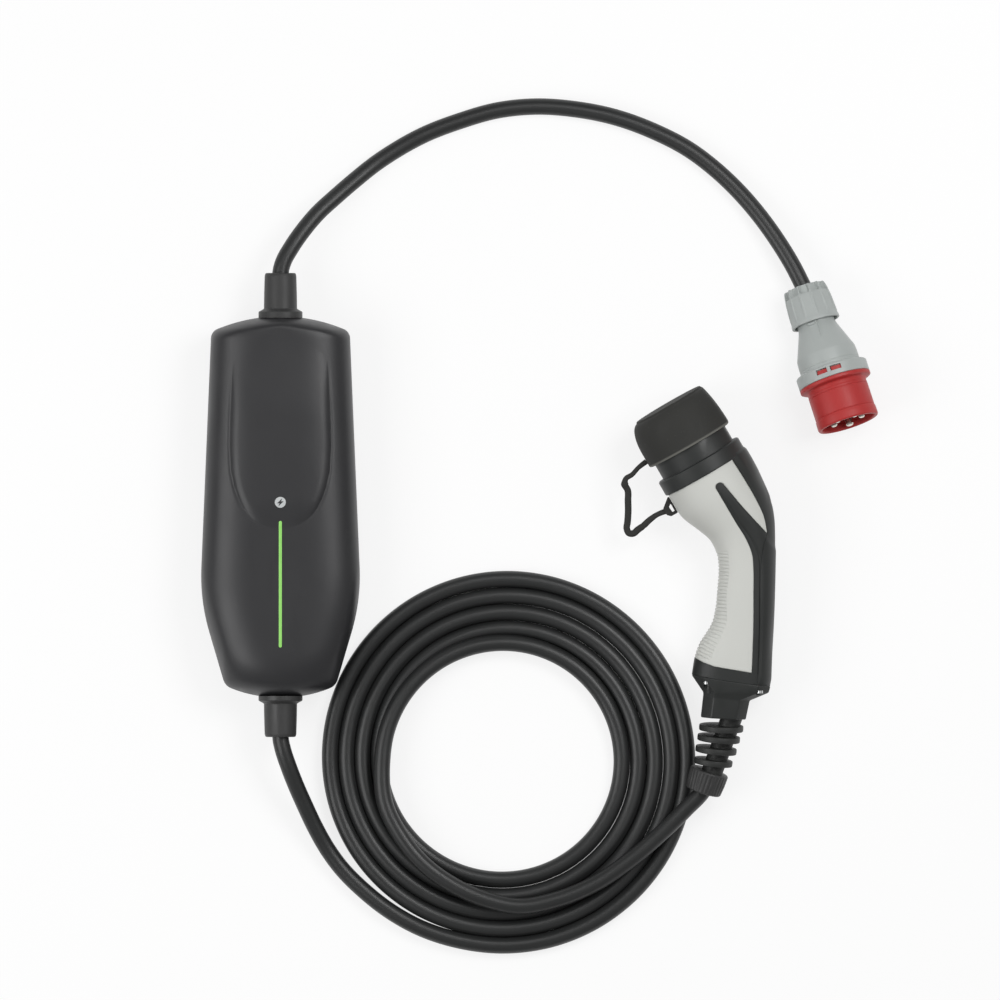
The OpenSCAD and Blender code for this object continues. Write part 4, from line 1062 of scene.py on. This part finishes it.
TIP_R, TIP_U, TIP_V, COLLAR_V = 3.3, 4.8, -24.4, -11.6
tip_arc = np.radians(np.linspace(90, 0, 24))
left_tip, right_tip = (
    [nose_plan(TIP_U + way * TIP_R * np.cos(a), TIP_V + TIP_R * np.sin(a)) for a in tip_arc]
    for way in (-1, 1))
above_tip = [nose_plan(TIP_U, v) for v in np.linspace(6, TIP_V + TIP_R, 12)[:-1]]
TONGUE_TIP = nose_plan(18, -73)
below_tip = plan_line([
    TONGUE_TIP, [49.6, -61], [47.8, -70], [47.0, -82], [46.6, -100], [46.2, -126], [45.2, -161],
    [44.8, -176]])
left_edge = np.vstack([above_tip, left_tip, plan_line([
    nose_plan(1.5, -24.5), nose_plan(1.5, -40), nose_plan(1.5, -56), nose_plan(1.9, -68), [40.7, -71],
    [41.5, -80], [41.6, -100], [41.5, -126], [40.4, -159], [39.6, -176]])])
right_edge = np.vstack([above_tip, right_tip, plan_line([
    nose_plan(8.1, -24.5), nose_plan(10.8, -40), nose_plan(14.4, -57), TONGUE_TIP]), below_tip])
spine_edge = np.vstack([plan_line([
    nose_plan(23, 6), nose_plan(23, -12), nose_plan(23.6, -30), nose_plan(23.5, -46), nose_plan(22, -61),
    TONGUE_TIP]), below_tip])

first_t = np.linspace(0, 1, 200)
finger_v = station(first_t)[:, :2] @ np.array([-0.5, np.cos(np.pi / 6)])
T_COLLAR, T_TIP = (np.interp(-v, -finger_v, first_t) for v in (COLLAR_V, TIP_V + TIP_R))
fine_t = np.linspace(0, LAST, 4000)
mid_length = arc_length(grip_row(fine_t)[0])
finger_length = arc_length(station(fine_t)[:, :2])
T_FORK = fine_t[np.argmin(np.abs(crossing(right_edge, fine_t) - crossing(spine_edge, fine_t)) > 1e-4)]

LOWER = np.array([[-60, -123], [-2.4, -148.4], [4, -151.4], [12.4, -154.2], [40.4, -159], [70, -164]])
SHARES = np.linspace(-1, 1, 81)
last_t = np.linspace(9, LAST, 300)
last_plan = grip_point(last_t[:, None], SHARES[None] + 0 * last_t[:, None], 1, 0.0)
over = last_plan[..., 1] - np.interp(last_plan[..., 0], LOWER[:, 0], LOWER[:, 1])
T_LOWER = last_t[np.argmax(over < 0, axis=0)]
T_MID = T_LOWER[len(SHARES) // 2]
print("panel from station", round(T_COLLAR, 3), "to", round(T_MID, 2), "fork at", round(T_FORK, 2))

# %% [markdown]
# ## Grey panels
# Each half of the grip has a grey panel. Its finger side carries fine ribs, which die out a few
# millimetres in. They are a ripple of the surface's level along the panel, leaning as the hand
# does, and the edges are rolled down by four tenths of a millimetre, so that the seams catch light.

# %% Grey panels
RIB_PITCH, RIB_DEPTH = 2.7, 0.7
start, end = np.interp([T_COLLAR, T_MID], fine_t, mid_length)
PANEL_T = np.interp(np.arange(start - 0.2, end, 0.36), mid_length, fine_t)
near_tip = T_TIP + np.array([0, 0.03, 0.1, 0.22, 0.4, 0.65, 0.95]) * 0.05
near_end = T_MID - np.array([0.12, 0.08, 0.05, 0.03, 0.015, 0.005, 0.0])
PANEL_T = np.unique(np.concatenate([PANEL_T[PANEL_T < T_MID - 0.15], near_tip, near_end]))


def warped(t, w):
    """Stations bent near the lower end, so that the last row follows the panel's lower edge."""
    return t + (np.interp(w, SHARES, T_LOWER) - T_MID) * step(T_MID - 1.6, T_MID, t)


def ribs(t, w):
    """Ripple by the length along the finger side, tilted to level, and let die out across."""
    _, across, half = grip_row(t)
    away = (w + 1) * half
    y = station(t)[..., 1]
    tilt = across[..., 1] / across[..., 0] + 0.42 * step(-112, -138, y)
    phase = (np.interp(t, fine_t, finger_length) - tilt * away) / RIB_PITCH
    reach = np.interp(-y, [68, 90, 105, 122, 135, 147], [8.9, 8, 7.5, 10.8, 12.7, 12.2])
    mask = (1 - step(reach - 1.6, reach, away)) * step(-69, -72, y) * (1 - step(-147, -148.5, y))
    return -RIB_DEPTH * mask * (0.5 + 0.5 * np.cos(2 * np.pi * phase)) ** 1.6


def edge_roll(distance):
    """How far the surface rolls down at a distance from its edge."""
    return -0.4 * np.exp(-(np.maximum(distance, 0) / 0.3) ** 1.5)


def panel_strips(side):
    """Two grids of one half: finger side to the blade, and the tongue between blade and spine."""
    left, right, spine = (crossing(line, PANEL_T) for line in (left_edge, right_edge, spine_edge))
    half = grip_row(PANEL_T)[2]
    blade_open = step(0.0, 0.6, (right - left) * half)[:, None]
    c = np.concatenate([np.linspace(0, 0.965, 64), [0.975, 0.983, 0.989, 0.994, 0.9975, 1.0]])
    angle = np.pi + (np.arccos(np.clip(left, -1, 1)) - np.pi)[:, None] * c
    w = np.cos(angle)
    t = warped(PANEL_T[:, None] + 0 * w, w)
    below = edge_roll((T_MID - PANEL_T) * 12)[:, None]
    parting = -0.3 * np.exp(-(np.maximum(w + 1, 0) * half[:, None] / 0.02) ** 0.5)
    beside = blade_open * edge_roll((left[:, None] - w) * half[:, None])
    main = grip_point(t, w, side, ribs(t, w) + below + parting + beside)
    tongue = PANEL_T <= T_FORK
    ends = [0, 0.01, 0.025, 0.05, 0.09], [0.91, 0.95, 0.975, 0.99, 1]
    k = np.concatenate([ends[0], np.linspace(0.15, 0.85, 12), ends[1]])
    right, spine, width = right[tongue, None], spine[tongue, None], half[tongue, None]
    w = right + (spine - right) * k
    roll = blade_open[tongue] * edge_roll((w - right) * width) + edge_roll((spine - w) * width)
    slim = grip_point(PANEL_T[tongue, None] + 0 * w, w, side, np.maximum(roll, -0.5))
    return [grid[:, ::-side] for grid in (main, slim)]


def weld(piece, distance=2e-6):
    """Merges points that lie on each other, and drops faces without area."""
    work = bmesh.new()
    work.from_mesh(piece.data)
    bmesh.ops.remove_doubles(work, verts=work.verts, dist=distance)
    bmesh.ops.dissolve_degenerate(work, edges=work.edges, dist=distance)
    work.to_mesh(piece.data)
    work.free()
    piece.data.set_sharp_from_angle(angle=np.radians(38))


def grip_panel(name, node, side):
    """Panel of one half: its two grids welded, with a wall of two millimetres inwards."""
    strips = [on_gun(grid) for grid in panel_strips(side)]
    panel = grid_skin(name, strips, "grip_grey", around=False)
    weld(panel)
    shell = panel.modifiers.new("wall", "SOLIDIFY")
    shell.thickness, shell.offset = 2.0 * MM, -1
    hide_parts(node)
    return dress(panel)


upper_panel = grip_panel("upper_panel", "grip_panel_left", 1)
lower_panel = grip_panel("lower_panel", "grip_panel_right", -1)
print("panel grid", len(PANEL_T), "rows,", len(upper_panel.data.polygons), "faces")

# %% [markdown]
# ## Black frame
# Under the panels the frame is one closed form. Where it shows, it comes up between them: as the
# blade, as the spine, and as a band round the lower end. A raised body runs down the blade and on
# as the back of the lower spine. It has a flat land on its left and a crisp ridge on its right,
# both drawn in plan, and its height is a formula of the distance from these two lines.

# %% Black frame
SUNK, SHOWN, BODY, NECK, SPINE_COLUMNS = -1.3, -0.1, 0.8, 1.25, 44
RIDGE = plan_line([
    [17, -19.9], [27, -29.5], [34, -39.5], [42, -48.6], [49.2, -57], [55.3, -65.5], [57.6, -68.5], [62, -74]])


def beyond_line(line, points):
    """Distance from a plan line, positive on the left of its way, by the nearest point's cross product."""
    way = np.gradient(line, axis=0)
    flat = points.reshape(-1, 2)
    near = np.concatenate([((part[:, None] - line[None]) ** 2).sum(-1).argmin(1)
                           for part in np.array_split(flat, 20)])
    off = flat - line[near]
    turned_left = way[near, 0] * off[:, 1] - way[near, 1] * off[:, 0]
    return (np.sign(turned_left) * np.linalg.norm(off, axis=1)).reshape(points.shape[:-1])


def raised_body(t, w, left):
    """Height over the land: up in a soft step past the land, and down in a slope beyond the ridge."""
    plan = grip_point(t, w, 1, 0.0)[..., :2]
    land = np.interp(plan[..., 1], [-75, -62, -47, -22], [5.2, 3.4, 2.3, 0])
    past = (w - left) * grip_row(t)[2] - land
    fall = np.clip(beyond_line(RIDGE, plan) / 3.4, 0, 1) * step(-25, -34, plan[..., 1])
    groove = 0.3 * np.exp(-(past / 0.45) ** 2) * step(1.5, 3, land)
    return (BODY * step(0, 1.7, past) * (1 - fall) ** 1.3 - groove) * (1 - step(LAST - 0.6, LAST, t))


def frame_rows():
    """Columns go finger side, blade, tongue, spine, and back below; the level says what shows."""
    up = np.unique(np.concatenate([np.linspace(0.02, T_COLLAR, 6), PANEL_T[::2], near_tip, near_end]))
    low = np.linspace(T_MID, LAST, 22)
    t0 = np.concatenate([up, low])
    left, right, spine = (crossing(line, t0) for line in (left_edge, right_edge, spine_edge))
    half = grip_row(t0)[2]
    band = np.concatenate([np.zeros(len(up)), np.ones(len(low))])[:, None]
    blade_open = step(0.05, 0.5, (right - left) * half)[:, None]
    tongue_open = step(0.05, 0.6, (spine - right) * half)[:, None] * (1 - band)
    under = SUNK + (SHOWN - SUNK) * band
    c = np.linspace(0, 1, 40)
    w_finger = np.cos(np.pi + (np.arccos(np.clip(left, -1, 1)) - np.pi)[:, None] * c)
    k = np.concatenate([[0, 0.015, 0.035], np.linspace(0.06, 0.94, 26), [0.965, 0.985, 1.0]])
    w_blade = left[:, None] + (right - left)[:, None] * k
    roll = 0.75 * edge_roll(np.minimum(k, 1 - k) * ((right - left) * half)[:, None]) * (1 - band)
    blade = SUNK + blade_open * (SHOWN - SUNK + roll)
    k = np.linspace(0, 1, 8)
    w_tongue = right[:, None] + (spine - right)[:, None] * k
    tongue = SHOWN + (SUNK - SHOWN) * tongue_open + 0 * k
    angle = np.arccos(np.clip(spine, -1, 1))[:, None] * (1 - np.linspace(0, 1, SPINE_COLUMNS) ** 1.15)
    w_spine = np.cos(angle)
    w = np.hstack([w_finger, w_blade, w_tongue, w_spine])
    shows = np.hstack([
        0 * w_finger, blade_open + 0 * w_blade, 1 - tongue_open + 0 * w_tongue, 1 + 0 * w_spine])
    level = np.hstack([under + 0 * w_finger, blade, tongue, SHOWN + 0 * w_spine])
    level = level + shows * raised_body(t0[:, None] + 0 * w, w, left[:, None])
    past_edge = (w_spine - spine[:, None]) * half[:, None]
    near_collar = step(0, T_COLLAR, t0) * (1 - step(T_COLLAR, T_COLLAR + 1.6, t0))
    level[:, -SPINE_COLUMNS:] += NECK * step(0.5, 5, past_edge) * near_collar[:, None]
    t = t0[:, None] + (np.interp(w, SHARES, T_LOWER) - T_MID) * (
        step(T_MID - 1.6, T_MID, t0) * (1 - step(T_MID, LAST, t0)))[:, None]
    top, bottom = (grip_point(t, w, side, level) for side in (1, -1))
    return np.hstack([top, bottom[:, -2:0:-1]])[:, ::-1]


COLLAR_R = 34.3
collar = round_off([(20, COLLAR_V, 0), (33.7, COLLAR_V, 0.4), (COLLAR_R, COLLAR_V + 0.6, 0.4),
                    (COLLAR_R, -0.9, 0.6), (33.5, 0, 0.6), (20, 0, 0)], False)
frame_piece = grid_skin("grip_frame", [on_gun(frame_rows()), on_nose(lathe(collar, 160))], "connector_black")
weld(frame_piece)
dress(frame_piece)
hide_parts("gun_frame")
print("frame", len(frame_piece.data.polygons), "faces")

# %% [markdown]
# ## Nose and cap
# The nose is round with one flat side, so that it only goes in one way, and the rubber cap follows
# it. In polar form that is the smaller of the circle and the flat's distance over the cosine; a
# soft minimum rounds the two corners. The cap's rim has a painted highlight: its colour is made pale
# for the light that its rolled edge would catch, and a number stored on the points of its rows tells
# the finish where.

# %% Nose and cap
D_COLUMNS = 192


def d_ring(radius, flat, soft):
    """Soft minimum of a circle and a straight side: (circle^-n + straight^-n)^(-1/n)."""
    a = np.linspace(0, 2 * np.pi, D_COLUMNS, endpoint=False)
    straight = np.where(np.cos(a) > 0.2, flat / np.maximum(np.cos(a), 0.2), 1e3)
    r = (radius ** -soft + straight ** -soft) ** (-1 / soft)
    return np.column_stack([r * np.cos(a), r * np.sin(a)])


def d_rows(profile, shift=1.6, soft=60.0):
    """Rows of (radius, flat, height) as D-shaped rings about the nose's middle."""
    return np.stack([np.column_stack([d_ring(r, f, soft) + [shift, 0], np.full(D_COLUMNS, h)])
                     for r, f, h in profile])


NOSE_R, NOSE_FLAT = 31.5, 28.3
nose_profile = [(NOSE_R + g, NOSE_FLAT + g, h) for g, h in (
    (0, -9), (0, 0), (0, 12), (0, 30), (0, 36.6), (-0.15, 37.1), (-0.5, 37.4), (-1, 37.5), (-2, 37.5),
    (-2.4, 37.3), (-2.6, 36.9), (-2.6, 30), (-2.6, -9))]
nose = dress(grid_skin("nose_shell", [on_nose(d_rows(nose_profile))], "connector_black", ends=None))
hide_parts("gun_nose")


def flat_at(h):
    """Distance of the cap's flat side from the middle: it bows in towards the crown."""
    return 32.5 - 4.6 * np.clip((h - 12.7) / 34.7, 0, 1) ** 1.9


def cap_profile():
    """Inside ceiling, inside wall, rolled rim, straight side, then a barrel that closes on the crown."""
    inside = [(4, 4, 38.0), (25, 25, 38.0), (31.2, 28.4, 38.0), (31.9, 28.7, 37.4), (31.9, 28.7, 20),
              (31.9, 28.7, 13.6), (32.4, 29.2, 12.9), (33.2, 30.2, 12.7), (34.6, 31.4, 12.7),
              (35.3, 32.2, 13.0), (35.7, 32.5, 13.6)]
    wall = [(35.72, flat_at(h), h) for h in np.linspace(15, 25.5, 6)]
    a = np.radians(np.linspace(4, 84, 14))
    barrel_r, barrel_h = 27.2 + 8.5 * np.cos(a) ** 0.92, 25.7 + 20.4 * np.sin(a)
    barrel = list(zip(barrel_r, flat_at(barrel_h), barrel_h))
    top = [(28.0, 27.9, 46.6), (27.8, 27.7, 47.0), (27.4, 27.3, 47.3), (26.8, 26.7, 47.4), (15, 15, 47.4),
           (4, 4, 47.4)]
    return inside + wall + barrel + top


RIM_ROWS = (9, 10)
cap_rows = on_nose(d_rows(cap_profile(), soft=46.0))
cap = dress(grid_skin("rubber_cap", [cap_rows], "cap_rubber", body="cap", sharp=50))
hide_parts("nose_cap")
row_of_point = np.arange(len(cap.data.vertices)) // D_COLUMNS
# Painted highlight: the rim rows store a 1, and the finish lightens their colour for light caught on the
# rolled edge.
painted_rim_highlight = cap.data.attributes.new("rim", "FLOAT", "POINT")
painted_rim_highlight.data.foreach_set("value", np.isin(row_of_point, RIM_ROWS).astype(float))
rubber = FINISHES["cap_rubber"]
rubber.feed("Base Color", (rubber.stored("rim") * 0.8).blend(rubber.colour(), srgb(122, 122, 116)))
print("cap", np.round(cap.dimensions, 4)[:])

# %% [markdown]
# ## Strap and eyelet
# A moulded strap keeps the cap. It is flatter than it is wide, its width changes along its way, and
# it ends in an eyelet on the grip, a flat link with a slot. When the cap is pulled off, the strap
# has to reach after it.

# %% Strap
STRAP = [
    [-34.2, 0, 18.2], [-42, 0.5, 17], [-48.5, 1.5, 14.9], [-54.2, 2.6, 14.4], [-56.9, 3.6, 11.2],
    [-57.2, 4.8, 6.4], [-61, 6, -0.8], [-65.2, 7.2, -8.3], [-69.3, 8.2, -14.5], [-72.4, 8.8, -18.8],
    [-72.6, 9, -22.4], [-69.8, 8.7, -24.2], [-66, 8, -23.5], [-60.8, 6.6, -22.9], [-54, 4.6, -21.3],
    [-47, 2.4, -20.6], [-41, 1, -21.4], [-39.4, 0.6, -21.8],
]
HALF_WIDTH = [2.1, 1.7, 1.8, 2.0, 2.4, 2.5, 2.55, 2.55, 2.55, 2.5, 2.5, 2.55, 2.6, 2.5, 2.3, 1.95, 2.1, 2.3]
strap_line = smooth_line(STRAP, 0.6)
strap_at = arc_length(strap_line)
spot_at = [strap_at[np.argmin(np.linalg.norm(strap_line - p, axis=1))] for p in STRAP]
half_width = np.interp(strap_at, spot_at, HALF_WIDTH)
knee, mould_line = (np.exp(-((strap_at - spot_at[i]) / w) ** 2) for i, w in ((4, 1.6), (13, 0.5)))
strap_rings = tube_rings(strap_line, half_width + 0.45 * knee - 0.3 * mould_line, 20, 0.6, (0, 1, 0))
strap = dress(grid_skin("cap_strap", [on_nose(strap_rings)], "cap_rubber", body=None))
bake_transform(strap)
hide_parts("cap_tether")


def reach_from(middle, corners, angle):
    """Distance from a point to a rounded outline, in each direction."""
    away = even_loop(round_off(corners, True, 8), 400) - middle
    heading = np.arctan2(away[:, 1], away[:, 0])
    order = np.argsort(heading)
    return np.interp(angle, heading[order], np.linalg.norm(away, axis=1)[order], period=2 * np.pi)


def link(middle, outer, inner, height):
    """Flat ring between two outlines: its section is a superellipse of power 4 between them."""
    angle = np.linspace(0, 2 * np.pi, 160, endpoint=False)
    far, near = (reach_from(middle, corners, angle)[:, None] for corners in (outer, inner))
    a = np.linspace(0, 2 * np.pi, 24, endpoint=False)
    out, up = (np.sign(f(a)) * np.abs(f(a)) ** 0.5 for f in (np.cos, np.sin))
    reach = (far + near) / 2 + (far - near) / 2 * out
    return np.stack([middle[0] + reach * np.cos(angle)[:, None], height * up + 0 * reach,
                     middle[1] + reach * np.sin(angle)[:, None]], axis=-1)


eye = link(np.array([-35.7, -21.6]),
           [(-32.8, -12.2, 0.8), (-32.8, -26.9, 0.8), (-38.6, -26.8, 1.2), (-41.0, -24.4, 1),
            (-41.2, -19, 1.4)],
           [(-34.3, -18.2, 0.4), (-34.3, -24.5, 0.4), (-36.2, -24.5, 0.5), (-36.6, -20, 0.5)], 1.9)
eyelet = dress(grid_skin("strap_eyelet", [on_nose(eye)], "cap_rubber", ends=None))
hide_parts("tether_eyelet")
print("strap", round(strap_at[-1], 1), "mm")

# %% [markdown]
# ## End cap
# The grip ends in a cap with flat facets and open channels for its screws. It could be pulled out
# of a cube by hand, but four rings of eight corners say where each facet lies, a bevel takes the
# edge off them, and a boolean bores the channels.

# %% End cap
# Finger side x and y, spine x and y, half thickness
END_STATIONS = [[-4.7, -161.1, 54.3, -169.8, 20.2], [4, -174, 53, -174.5, 19.4],
                [4, -177, 38.8, -180.5, 17.4], [2.2, -193, 35.8, -194.8, 16.8]]


def end_ring(row):
    """Rectangle with cut corners between the finger side and the spine."""
    finger, spine, b = np.array(row[0:2]), np.array(row[2:4]), row[4]
    across = (spine - finger) / np.linalg.norm(spine - finger)
    cut = 0.45 * b
    corners = [(1, 0, b - cut), (1, cut, b), (0, cut, b), (0, 0, b - cut),
               (0, 0, cut - b), (0, cut, -b), (1, cut, -b), (1, 0, cut - b)]
    return np.array([[*(spine - d * across if s else finger + d * across), z] for s, d, z in corners])


def rod(start, way, length, radius, sides=32):
    """Cylinder from a point along a direction, as two rings."""
    way = np.array(way, float) / np.linalg.norm(way)
    line = np.array([start, np.array(start) + way * length], float)
    return tube_rings(line, radius, sides)


end_cap = grid_skin("end_cap", [on_gun(np.stack([end_ring(r) for r in END_STATIONS]))], "connector_black")
soften = end_cap.modifiers.new("edges", "BEVEL")
soften.width, soften.segments, soften.limit_method, soften.angle_limit = 0.9 * MM, 3, "ANGLE", np.radians(12)
END_SCREWS = [(x, y, z) for x, y in ((6.5, -165.6), (46.3, -172.4)) for z in (-17, 17)]
channels = grid_skin("channels", [on_gun(rod(at, (0, -1, 0), 16, 3.0)) for at in END_SCREWS],
                     "connector_black", body=None)
cut_away(end_cap, channels)
dress(end_cap)
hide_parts("gun_end_cap")
print("end cap", len(end_cap.data.polygons), "faces")

# %% [markdown]
# ## Boot and cable nut
# Behind the end cap the boot lets the cable bend: four loose rings on a core that leans across
# them, and a ribbed nut that clamps the jacket. An array along a curve could place the rings, but
# each has its own size and swing, so they are listed. They droop a little with the cable.

# %% Boot and cable nut
NUT_START, NUT_END = np.array([8.6, -234.3, 0]), np.array([4.3, -248.0, 0])
NUT_TURN = np.degrees(np.arctan2(*(NUT_START - NUT_END)[:2]))
# Place, diameter and turn of each ring
RINGS = [[17.5, -201.4, 33.4, 3], [15.6, -209.3, 32.2, 5], [13.6, -218, 31.2, 6], [11.5, -227, 29.2, 7]]
RING_HALF, RING_DROOP, NUT_DROOP = 2.15, 4.0, 5.5


def headed(points, start, turned_by, droop):
    """Turns +Z down the connector, swung by an angle and leaning down by droop, and moves to start."""
    return placed(points, turn("Z", -90 - turned_by) @ turn("Y", 90 + droop), start)


def disc(diameter):
    """Lathe of a ring of the boot, slightly crowned, with round edges."""
    r, h = diameter / 2, RING_HALF
    profile = [(3, -h, 0), (r - 0.2, -h, 0.5), (r, 0, 6), (r - 0.2, h, 0.5), (3, h, 0)]
    return lathe(round_off(profile, False), 96)


core_line = np.array([[26.3, -191, 0], [20.9, -206, -0.3], [16, -219.5, -0.6], [10.2, -235.5, 0]])
core = tube_rings(smooth_line(core_line, 1.0), 8.0, 48)
rings = [headed(disc(d), (x, y, 0), swing, RING_DROOP) for x, y, d, swing in RINGS]
boot = dress(grid_skin("bend_boot", [on_gun(g) for g in [core] + rings], "relief_rubber"), "boot_rubber")
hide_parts("cord_boot")


def ribbed_nut(ribs=28, each=12):
    """Lathe with a ripple: radius less six tenths of a millimetre between the ribs, fading at both edges."""
    profile = round_off([(5, -0.6, 0), (14.0, -0.6, 0.3), (14.7, 0.4, 0.5), (14.3, 8, 10), (13.4, 15.0, 0.6),
                         (12.6, 15.9, 0.5), (7.2, 15.9, 0.4), (6.0, 15.0, 0)], False)
    r, h = profile[:, :1], profile[:, 1:]
    a = np.linspace(0, 2 * np.pi, ribs * each, endpoint=False)[None]
    fade = step(0.0, 1.2, h) * (1 - step(14.0, 15.2, h)) * (r > 12)
    return turned(r - 0.6 * fade * (0.5 + 0.5 * np.cos(ribs * a)) ** 2, a, h)


nut_rows = headed(ribbed_nut(), NUT_START, NUT_TURN, NUT_DROOP)
cable_nut = dress(grid_skin("cable_nut", [on_gun(nut_rows)], "relief_rubber"))
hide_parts("boot_nut")
CONNECTOR = [upper_panel, lower_panel, frame_piece, nose, cap, strap, eyelet, end_cap, boot, cable_nut] + [
    frame["nodes"][n] for n in ("end_cap_screws", "contact_insert", "power_contacts", "signal_contacts")]
print("boot and nut", len(boot.data.polygons), len(cable_nut.data.polygons), "faces")

# %% [markdown]
# ## Pieces that keep their CAD form
# Turned pins, screws, seals and everything inside the box already have their true form, so they
# only get the finish that their slot names.

# %% Dress the CAD pieces
slot_of = {part["node"]: part["material_slot"] for part in frame["record"]["subparts"]}
kept = []
for name, piece in frame["nodes"].items():
    if piece.hide_render:
        continue
    piece.data.materials.clear()
    piece.data.materials.append(FINISHES[slot_of[name]].material)
    kept.append(name)
dress(supply_lead)
dress(charge_lead)
print(len(kept), "CAD pieces dressed")

# %% [markdown]
# ## The plug's pieces
# The pieces that sit on the supply lead's far end, at the plug, are gathered in one list.

on_plug_end = [nut, cone, insert, tabs] + [frame["nodes"][n] for n in (
    "plug_gland_seal", "pin_carrier", "line_pins", "earth_pin")]
